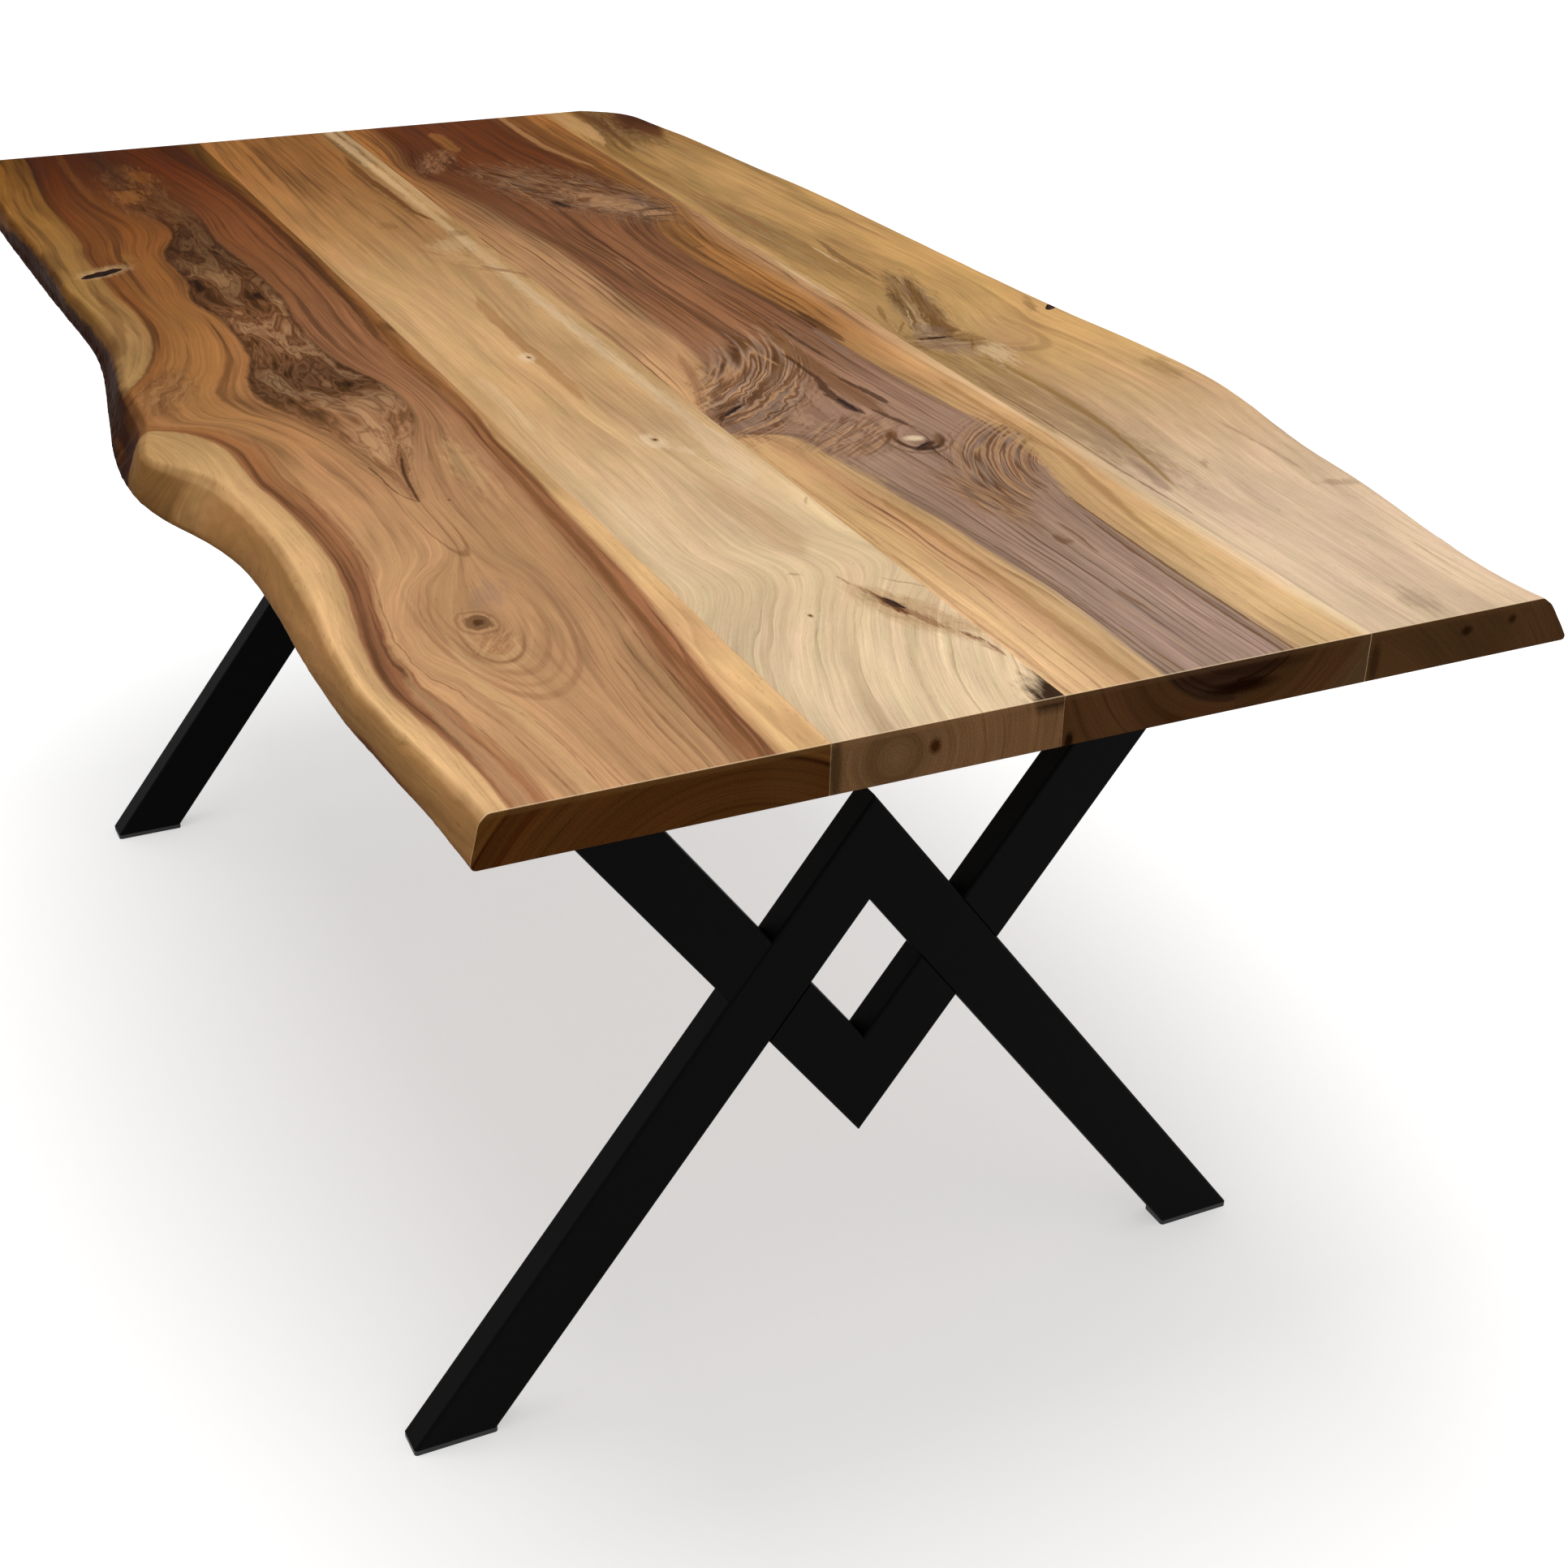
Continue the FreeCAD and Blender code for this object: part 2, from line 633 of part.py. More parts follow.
def make_top():
    front_seam = "-dims.front_seam"
    rear_seam = "dims.rear_seam"
    half_pitch = "dims.bolt_pitch / 2"
    outer_bolt = "dims.bolt_pitch * 1.5"
    make_live_board("board_front_live", FRONT_EDGE, front_seam, True, f"-{outer_bolt}")
    make_inner_board("board_front_inner", front_seam, "0", f"-{half_pitch}")
    make_inner_board("board_rear_inner", "0", rear_seam, half_pitch)
    make_live_board("board_rear_live", REAR_EDGE, rear_seam, False, outer_bolt)
    make_tenons("tenons_front_seam", front_seam)
    make_tenons("tenons_middle_seam", "0")
    make_tenons("tenons_rear_seam", rear_seam)


def make_leg_frame(end, frame_x):
    make_mounting_plate(f"mounting_plate_{end}", frame_x)
    for side, place in ((-1, "front"), (1, "rear")):
        make_bar(f"long_bar_{end}_{place}", frame_x, side, long_bar_corners, 1)
        make_bar(f"upper_short_bar_{end}_{place}", frame_x, side, upper_short_corners, -1)
        make_bar(f"lower_short_bar_{end}_{place}", frame_x, side, lower_short_corners, -1)
        make_foot_cap(f"foot_cap_{end}_{place}", frame_x, side)
    make_bolts(f"frame_bolts_{end}", frame_x)
    make_ring(f"frame_washers_{end}", frame_x, HEAD_SEAT,
              "dims.washer_diameter", "dims.washer_bore", "dims.washer_thickness")
    make_ring(f"threaded_inserts_{end}", frame_x, UNDERSIDE,
              "dims.insert_diameter", "dims.insert_bore", "dims.insert_length")


def check_document():
    for item in doc.Objects:
        if "Invalid" in item.State or "Error" in item.State:
            raise ValueError(f"{item.Name} failed: {item.State}")
    for body in pieces:
        shape = body.Shape
        if shape.isNull() or not shape.isValid() or not shape.Solids:
            raise ValueError(f"{body.Label} has no valid solid")


def export_pieces():
    os.makedirs("parts", exist_ok=True)
    for body in pieces:
        body.Shape.exportStep(f"parts/{body.Label}.step")
        box = body.Shape.BoundBox
        print(f"{body.Label:28s} solids {len(body.Shape.Solids):2d}"
              f"  x {box.XMin:8.1f} {box.XMax:8.1f}  y {box.YMin:8.1f} {box.YMax:8.1f}"
              f"  z {box.ZMin:7.1f} {box.ZMax:7.1f}  volume {body.Shape.Volume:12.0f}")


fill_sheet()
make_top()
make_leg_frame("near", "dims.frame_half_spacing")
make_leg_frame("far", "-dims.frame_half_spacing")
doc.recompute()
check_document()
export_pieces()
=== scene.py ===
"""Live edge dining table: four walnut boards on two black steel leg frames."""

import math

import bpy
from mathutils import Matrix, Vector


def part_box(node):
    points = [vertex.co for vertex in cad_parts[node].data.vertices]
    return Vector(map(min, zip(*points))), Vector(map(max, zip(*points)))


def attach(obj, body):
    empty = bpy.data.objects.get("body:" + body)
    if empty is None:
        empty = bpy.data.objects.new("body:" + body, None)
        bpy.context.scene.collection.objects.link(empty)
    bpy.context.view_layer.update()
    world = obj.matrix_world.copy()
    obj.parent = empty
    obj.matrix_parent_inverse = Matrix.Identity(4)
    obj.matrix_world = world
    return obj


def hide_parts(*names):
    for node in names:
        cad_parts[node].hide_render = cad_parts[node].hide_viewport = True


bl_info = {
    "name": "Live Edge Dining Table",
    "version": (1, 0, 0),
    "blender": (4, 5, 0),
    "location": "3D View > Sidebar > Table",
    "description": "Walnut boards with live edges on crossed steel leg frames",
    "category": "Add Mesh",
}

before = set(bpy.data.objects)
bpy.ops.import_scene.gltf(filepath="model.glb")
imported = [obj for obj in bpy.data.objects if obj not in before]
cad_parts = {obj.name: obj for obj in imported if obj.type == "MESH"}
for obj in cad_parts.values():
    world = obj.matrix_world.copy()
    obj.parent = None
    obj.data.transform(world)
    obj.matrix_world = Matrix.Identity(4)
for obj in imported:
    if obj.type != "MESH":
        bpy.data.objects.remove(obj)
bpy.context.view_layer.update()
MM = 0.001
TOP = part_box("board_front_inner")[1].z
HALF_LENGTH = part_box("board_front_inner")[1].x
FRONT, REAR = -1, 1
# How far from the table's middle a live board's sawn blank ends and its live edge is drawn out.
BLANK_REACH = {FRONT: 405 * MM, REAR: 300 * MM}

# The stage, in metres.
FLOOR_WIDTH = 60
LAMP_SIZE = (2.6, 2.2)
LAMP_PLACE = (0.0, -0.3, 3.5)
LAMP_AIM = (0, 0, 0.6)
CAMERA_PLACE = (2.0940, -0.8371, 1.5007)
CAMERA_RIGHT = (0.43524, 0.89996, 0.02526)
CAMERA_AHEAD = (-0.78506, 0.39311, -0.47870)


def linear(code):
    """Turns an sRGB hex colour into the linear numbers that Blender works in."""
    parts = [int(code[i : i + 2], 16) / 255 for i in (1, 3, 5)]
    return [c / 12.92 if c <= 0.04045 else ((c + 0.055) / 1.055) ** 2.4 for c in parts]


def colour(name, code, about):
    """A colour that the user can change in the sidebar."""
    return bpy.props.FloatVectorProperty(
        name=name, description=about, subtype="COLOR", size=3, min=0, max=1, default=linear(code)
    )


def length(name, millimetres, about):
    """A size that the user can change in the sidebar."""
    return bpy.props.FloatProperty(
        name=name, description=about, subtype="DISTANCE", unit="LENGTH", min=0, default=millimetres * MM
    )


def amount(name, value, about):
    """A plain number that the user can change in the sidebar."""
    return bpy.props.FloatProperty(name=name, description=about, min=0, default=value)


class TableBoards(bpy.types.PropertyGroup):
    """Sizes and colours of the four walnut boards."""

    station: length("Station spacing", 3.2, "How far apart the cross-sections of a live edge stand")
    top_round: length("Upper live arris", 8, "Radius sanded on the upper edge of a live side")
    under_round: length("Lower live arris", 7, "Radius sanded on the lower edge of a live side")
    end_ease: length("Sawn end ease", 1.5, "Arris taken off round each sawn end")
    seam_ease: length("Seam ease", 0.35, "Arris taken off each glued edge")
    swell: length("Swell", 2.6, "Depth of the long hollows along a live side")
    ripple: length("Ripple", 0.9, "Depth of the small hollows along a live side")
    bark_pit: length("Bark pits", 3.5, "Depth of the pits where bark came away")

    cream: colour("Cream sapwood", "#E4CAA5", "Palest wood, in the front inner board")
    blush: colour("Blush sapwood", "#DDC2A4", "Pinkish pale wood of the rear live board")
    straw: colour("Straw sapwood", "#CFA776", "Yellowish sapwood next to the live edges")
    honey: colour("Honey", "#B8915C", "Golden wood of the rear live board")
    tan: colour("Tan", "#B48A62", "Mid tone between sapwood and heartwood")
    amber: colour("Amber", "#97683A", "Orange-brown streaks")
    olive: colour("Olive", "#8E6A38", "Olive-brown wood near the far end")
    plum: colour("Plum heart", "#917664", "Greyish purple heart of the rear inner board")
    chestnut: colour("Chestnut", "#8C5F40", "Red-brown heartwood")
    umber: colour("Umber", "#6B4524", "Dark heartwood")
    russet: colour("Russet", "#5C3014", "Dark bands beside the sapwood")
    smoke: colour("Smoke", "#3C2212", "Darkest streaks, burl outlines and knots")
    bark: colour("Bark", "#280E03", "Traces of bark along the lower live arris")
    far_tint_and_shade: colour("Amber glaze", "#E6C98F", "Warmth that lies over the wood towards the far end")


class TableMetal(bpy.types.PropertyGroup):
    """Colours and grain of the frames, feet and fasteners."""

    powder: colour("Powder coat", "#030303", "Fine-textured black powder coat")
    orange_peel: length("Coat texture", 0.9, "Width of one bump of the powder coat")
    nylon: colour("Nylon", "#0B0B0C", "Moulded foot caps")
    oxide: colour("Black oxide", "#1B1A1C", "Blackened steel bolts")
    zinc: colour("Zinc", "#C9CCCF", "Zinc-plated steel washers")
    brass: colour("Brass", "#C9A24F", "Turned brass inserts")
    beech: colour("Beech", "#CFA374", "Loose tenons inside the seams")


class TableStage(bpy.types.PropertyGroup):
    """Camera, floor and lamps."""

    lens: bpy.props.FloatProperty(
        name="Focal length", description="Lens of the camera", subtype="DISTANCE_CAMERA", min=1, default=55.44
    )
    floor: colour("Floor", "#E6E6E6", "Plain pale floor")
    lamp: amount("Overhead lamp", 54, "Power of the large soft lamp, in watts")
    sky: amount("Ambient light", 0.48, "Strength of the even light all round")


def settings(name):
    return getattr(bpy.context.scene, name)


# ---------------------------------------------------------------- modelling


def only(piece):
    """Leaves one object selected and active."""
    bpy.ops.object.select_all(action="DESELECT")
    piece.select_set(True)
    bpy.context.view_layer.objects.active = piece


def placed(name):
    """Names the new primitive and moves its place, turn and size into its mesh."""
    piece = bpy.context.object
    piece.name = piece.data.name = name
    only(piece)
    bpy.ops.object.transform_apply(location=True, rotation=True, scale=True)
    return piece


def block(name, low, high):
    """A sawn blank between two opposite corners."""
    bpy.ops.object.select_all(action="DESELECT")
    low, high = Vector(low), Vector(high)
    bpy.ops.mesh.primitive_cube_add(size=1, location=(low + high) / 2, scale=high - low)
    return placed(name)


def pick_edges(piece, test):
    """In edit mode, selects the edges whose two ends pass a test."""
    bpy.ops.mesh.select_mode(type="EDGE")
    bpy.ops.mesh.select_all(action="DESELECT")
    bpy.ops.object.mode_set(mode="OBJECT")
    spots = piece.data.vertices
    for edge in piece.data.edges:
        edge.select = bool(test(*(spots[i].co for i in edge.vertices)))
    bpy.ops.object.mode_set(mode="EDIT")


def pick_faces(piece, test):
    """In edit mode, selects the faces whose centre and normal pass a test."""
    bpy.ops.mesh.select_mode(type="FACE")
    bpy.ops.mesh.select_all(action="DESELECT")
    bpy.ops.object.mode_set(mode="OBJECT")
    for face in piece.data.polygons:
        face.select = bool(test(face.center, face.normal))
    bpy.ops.object.mode_set(mode="EDIT")


def group(piece, name, weigh):
    """A vertex group with each corner weighted by its place."""
    patch = piece.vertex_groups.new(name=name)
    for spot in piece.data.vertices:
        weight = weigh(spot.co)
        if weight > 0:
            patch.add([spot.index], min(weight, 1), "REPLACE")
    return patch.name


def apply(piece, kind, **values):
    """Adds a modifier with its values and applies it."""
    only(piece)
    modifier = piece.modifiers.new(kind.title(), kind)
    for name, value in values.items():
        setattr(modifier, name, value)
    bpy.ops.object.modifier_apply(modifier=modifier.name)


def roughen(piece, patch, size, depth, height=1.0, turbulence=0):
    """Presses hollows of a given size and depth into part of a piece."""
    cloud = bpy.data.textures.new(piece.name + "_hollows", "CLOUDS")
    cloud.noise_scale = size
    cloud.noise_depth = turbulence
    apply(
        piece, "DISPLACE", texture=cloud, texture_coords="LOCAL", vertex_group=patch,
        strength=depth, mid_level=height,
    )


def same(a, b):
    return abs(a - b) < 1e-5


def ease_sawn_ends(piece, offset):
    """Takes the arris off round both sawn ends."""
    pick_edges(piece, lambda a, b: same(a.x, b.x) and same(abs(a.x), HALF_LENGTH))
    bpy.ops.mesh.bevel(offset=offset, segments=2, profile=0.5, affect="EDGES")


def ease_seams(piece, seams, offset):
    """Takes a fine arris off the long edges that meet a neighbouring board."""
    pick_edges(
        piece,
        lambda a, b: same(a.y, b.y) and same(a.z, b.z) and abs(a.x - b.x) > 2 * MM
        and any(same(a.y, seam) for seam in seams),
    )
    bpy.ops.mesh.bevel(offset=offset, segments=1, affect="EDGES")


def carve(piece, cutter, lining):
    """Cuts one piece out of another and lines the cut."""
    cutter.data.materials.append(lining)
    apply(piece, "BOOLEAN", operation="DIFFERENCE", object=cutter, solver="MANIFOLD")
    bpy.data.objects.remove(cutter)


def hollow(name, x, y, turn, long, wide, deep):
    """The cutter for one crack or knot hole: a ragged lens lying on the top face. Sizes in millimetres."""
    bpy.ops.object.select_all(action="DESELECT")
    bpy.ops.mesh.primitive_ico_sphere_add(
        subdivisions=4, radius=1, location=(x * MM, y * MM, TOP), rotation=(0, 0, math.radians(turn)),
        scale=(long / 2 * MM, wide / 2 * MM, deep * MM),
    )
    cutter = placed(name)
    everywhere = group(cutter, "all", lambda co: 1)
    roughen(cutter, everywhere, size=wide * 0.7 * MM, depth=min(wide, deep) * 0.5 * MM, height=0.5)
    return cutter


def copy_of_node(node):
    """A merged copy of a CAD node's mesh, without its finish, to cut with."""
    bpy.ops.object.select_all(action="DESELECT")
    copy = bpy.data.objects.new(node + "_copy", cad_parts[node].data.copy())
    bpy.context.scene.collection.objects.link(copy)
    only(copy)
    bpy.ops.object.mode_set(mode="EDIT")
    bpy.ops.mesh.select_all(action="SELECT")
    bpy.ops.mesh.remove_doubles(threshold=1e-5)
    bpy.ops.object.mode_set(mode="OBJECT")
    copy.data.materials.clear()
    return copy


def insert_bores(board_low, board_high):
    """The cutters for the threaded inserts that lie in one board."""
    rows = 4
    for end in ("near", "far"):
        low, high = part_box("threaded_inserts_" + end)
        depth = high.z - low.z
        radius = depth / 3
        pitch = (high.y - low.y - 2 * radius) / (rows - 1)
        for row in range(rows):
            y = low.y + radius + row * pitch
            if board_low.y < y < board_high.y:
                for x in (low.x + radius, high.x - radius):
                    bpy.ops.object.select_all(action="DESELECT")
                    bpy.ops.mesh.primitive_cylinder_add(
                        vertices=48, radius=radius, depth=depth, location=(x, y, (low.z + high.z) / 2)
                    )
                    yield placed("bore")


def live_blank(name, node, side, bark):
    """The blank of a board with one live side: cut into short stations, drawn to the tree's outline, sanded
    round and pressed with hollows."""
    sizes = settings("table_boards")
    low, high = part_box(node)
    seam, outer = (high.y, low.y) if side == FRONT else (low.y, high.y)
    start = side * BLANK_REACH[side]
    piece = block(name, (low.x, min(seam, start), low.z), (high.x, max(seam, start), high.z))

    def drawn_out(*spots):
        return all(abs(co.y) > BLANK_REACH[side] + 1 * MM for co in spots)

    bpy.ops.object.mode_set(mode="EDIT")
    pick_faces(piece, lambda centre, normal: normal.y * side > 0.9)
    spare = 20 * MM
    bpy.ops.mesh.extrude_region_move(TRANSFORM_OT_translate={"value": (0, outer + side * spare - start, 0)})
    long_cuts = 33
    pick_edges(piece, lambda a, b: abs(a.x - b.x) > HALF_LENGTH)
    bpy.ops.mesh.subdivide(number_cuts=long_cuts)
    bay = 2 * HALF_LENGTH / (long_cuts + 1)
    pick_edges(piece, lambda a, b: abs(a.x - b.x) > bay / 2)
    bpy.ops.mesh.subdivide(number_cuts=round(bay / sizes.station) - 1)
    # The blank is held a hair small while it is drawn to the outline, so that no ray grazes a face.
    centre = (low + high) / 2
    squeeze = (1 - 2.2 * MM / HALF_LENGTH, 1, 0.998)
    bpy.ops.mesh.select_all(action="SELECT")
    bpy.ops.transform.resize(value=squeeze, center_override=centre)
    bpy.ops.object.mode_set(mode="OBJECT")
    apply(
        piece, "SHRINKWRAP", target=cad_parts[node], vertex_group=group(piece, "live_edge", drawn_out),
        wrap_method="PROJECT", use_project_y=True, use_positive_direction=side == FRONT,
        use_negative_direction=side == REAR,
    )
    only(piece)
    bpy.ops.object.mode_set(mode="EDIT")
    bpy.ops.mesh.select_all(action="SELECT")
    bpy.ops.transform.resize(value=[1 / s for s in squeeze], center_override=centre)

    for level, radius in ((high.z, sizes.top_round), (low.z, sizes.under_round)):
        pick_edges(
            piece,
            lambda a, b: same(a.z, level) and same(b.z, level) and abs(a.x - b.x) > 1 * MM and drawn_out(a, b),
        )
        bpy.ops.mesh.bevel(offset=radius, segments=5, profile=0.5, affect="EDGES")
    upright = 0.6 * (high.z - low.z - sizes.top_round - sizes.under_round)
    pick_edges(piece, lambda a, b: abs(a.z - b.z) > upright and abs(a.x - b.x) < 2 * MM and drawn_out(a, b))
    bpy.ops.mesh.subdivide(number_cuts=8)
    bpy.ops.mesh.select_all(action="SELECT")
    bpy.ops.mesh.normals_make_consistent(inside=False)
    bpy.ops.object.mode_set(mode="OBJECT")

    def between(place, start, stop, fade):
        """1 well inside two limits, falling to 0 at each."""
        return min((place - start) / fade, (stop - place) / fade)

    def on_side(co):
        return drawn_out(co) and between(co.z, low.z, high.z, 2 * MM)

    def in_bark(co):
        return drawn_out(co) and min(
            between(co.x, *bark, 120 * MM), (low.z + 24 * MM - co.z) / (12 * MM), (co.z - low.z) / (2 * MM)
        )

    live_side = group(piece, "live_side", on_side)
    roughen(piece, live_side, size=55 * MM, depth=sizes.swell)
    roughen(piece, live_side, size=9 * MM, depth=sizes.ripple, turbulence=1)
    if bark:
        roughen(piece, group(piece, "bark", in_bark), size=7 * MM, depth=sizes.bark_pit, turbulence=3)

    only(piece)
    bpy.ops.object.mode_set(mode="EDIT")
    for end in (-HALF_LENGTH, HALF_LENGTH):
        pick_faces(piece, lambda centre, normal: abs(centre.x - end) < 2 * MM and abs(normal.x) > 0.7)
        bpy.ops.transform.resize(value=(0, 1, 1), center_override=(end, 0, 0))
    bpy.ops.object.mode_set(mode="OBJECT")
    return piece


def shade_board(piece):
    """Shades a board smoothly, with a hard edge round each lined cut."""
    only(piece)
    bpy.ops.object.mode_set(mode="EDIT")
    pick_faces(piece, lambda centre, normal: False)
    piece.active_material_index = 1
    bpy.ops.object.material_slot_select()
    bpy.ops.mesh.region_to_loop()
    bpy.ops.mesh.mark_sharp()
    bpy.ops.object.mode_set(mode="OBJECT")
    bpy.ops.object.shade_smooth_by_angle(angle=math.radians(40))
    apply(piece, "WEIGHTED_NORMAL", keep_sharp=True)


def build_board(place, figure, seams, cracks, side=None, bark=None):
    """Models one board and ties it to the CAD board that it stands for. A crack is its x, y, turn, length,
    width and depth, and bark is where along a live side its pits start and stop."""
    sizes = settings("table_boards")
    name, node = "walnut_board_" + place, "board_" + place
    low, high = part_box(node)
    skin, lining = walnut(f"walnut_{place}_oiled", figure), crack_lining()
    piece = live_blank(name, node, side, bark) if side else block(name, low, high)
    piece.data.materials.append(skin)

    only(piece)
    bpy.ops.object.mode_set(mode="EDIT")
    ease_sawn_ends(piece, sizes.end_ease)
    glued = {FRONT: (high.y,), REAR: (low.y,)}.get(side, (low.y, high.y))
    ease_seams(piece, glued, sizes.seam_ease)
    bpy.ops.object.mode_set(mode="OBJECT")

    for seam in seams:
        carve(piece, copy_of_node(seam), lining)
    for bore in insert_bores(low, high):
        carve(piece, bore, lining)
    for number, crack in enumerate(cracks):
        carve(piece, hollow(f"{name}_crack_{number}", *crack), lining)
    shade_board(piece)
    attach(piece, "root")
    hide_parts(node)


# ---------------------------------------------------------------- materials


def fresh_nodes(owner):
    """Clears a material's or a world's nodes and gives the function that adds one node to it, with its
    settings, feeds and links."""
    owner.use_nodes = True
    tree = owner.node_tree
    tree.nodes.clear()

    def add(kind, *feeds, out=0, points=None, stops=None, **values):
        kind, _, mode = kind.partition(".")
        node = tree.nodes.new("ShaderNode" + kind)
        if mode:
            values["data_type" if kind == "Mix" else "operation"] = mode
        for name, value in values.items():
            setattr(node, name, value)
        sockets = [s for s in node.inputs if s.enabled]
        named = feeds[0] if feeds and isinstance(feeds[0], dict) else dict(enumerate(feeds))
        for key, feed in named.items():
            socket = sockets[key] if isinstance(key, int) else node.inputs[key]
            if isinstance(feed, bpy.types.NodeSocket):
                tree.links.new(feed, socket)
            elif feed is not None:
                wide = socket.type == "RGBA" and len(feed) == 3
                socket.default_value = (*feed, 1) if wide else feed
        if points:
            line = node.mapping
            line.use_clip = False
            line.extend = "HORIZONTAL"
            curve = line.curves[0]
            curve.points[0].location, curve.points[1].location = points[0], points[-1]
            for point in points[1:-1]:
                curve.points.new(*point)
            for point in curve.points:
                point.handle_type = "AUTO_CLAMPED"
            line.update()
        if stops:
            ramp = node.color_ramp
            while len(ramp.elements) < len(stops):
                ramp.elements.new(0.5)
            for element, (position, tint) in zip(ramp.elements, stops):
                element.position = position
                element.color = (*tint, 1)
        if isinstance(out, str):
            return node.outputs[out]
        outputs = [s for s in node.outputs if s.enabled]
        return outputs[out] if outputs else None

    return add


def new_material(name):
    material = bpy.data.materials.new(name)
    return material, fresh_nodes(material)


def surface(add, **inputs):
    """The shader and the output that end every material."""
    shader = add("BsdfPrincipled", {name.replace("_", " "): feed for name, feed in inputs.items()})
    add("OutputMaterial", shader)


def counted_in(add, size):
    """A place on the piece, counted in steps of a real size."""
    return add("VectorMath.SCALE", add("TexCoord", out="Object"), 1 / size)


# Lets a range fade in and out instead of going straight.
SOFT = {"interpolation_type": "SMOOTHSTEP"}

# The wood figure of each board. All places are in millimetres from the table's centre: x along the
# board, y across it, z up. A tone is one of the board's colours and a strength. A figure holds:
# near: the x where the middle tones start to give way to the near ones, and where they have;
# pith: the y and z of the tree's centre; end: how much a sawn end darkens; seed: its own noise;
# bark: (x, z) of the bark's upper limit;
# lines: the limits of the bands of wood, each with its band's width in growth rows and its (x, y) points;
# tones: (place counted in lines, tone) for the near, middle and far stretch of the board;
# rings: spacing, sway and (x, strength) of the growth lines; arcs: start, stop, centre x, centre y, radius;
# curls: x, y, length, width, throw; knots: x, y, radius, stretch, radius of the core;
# twisted: (level, tone) of twisted fibres; swirls: x, y, turn, length, width, fibre length and width,
# strength, lightness, and the x and y that the fibres sweep round, if they do;
# burl: the two lines that it lies between, (x, strength) and (x, lightness);
# drift: (x, lightness, warmth); loops: tone, half width, x, y, turn, length, width;
# streaks: tone, raggedness, softness and (x, y, half width) points;
# spots: tone, raggedness, x, y, turn, length, width; end_spots: tone, y, z, width, height.

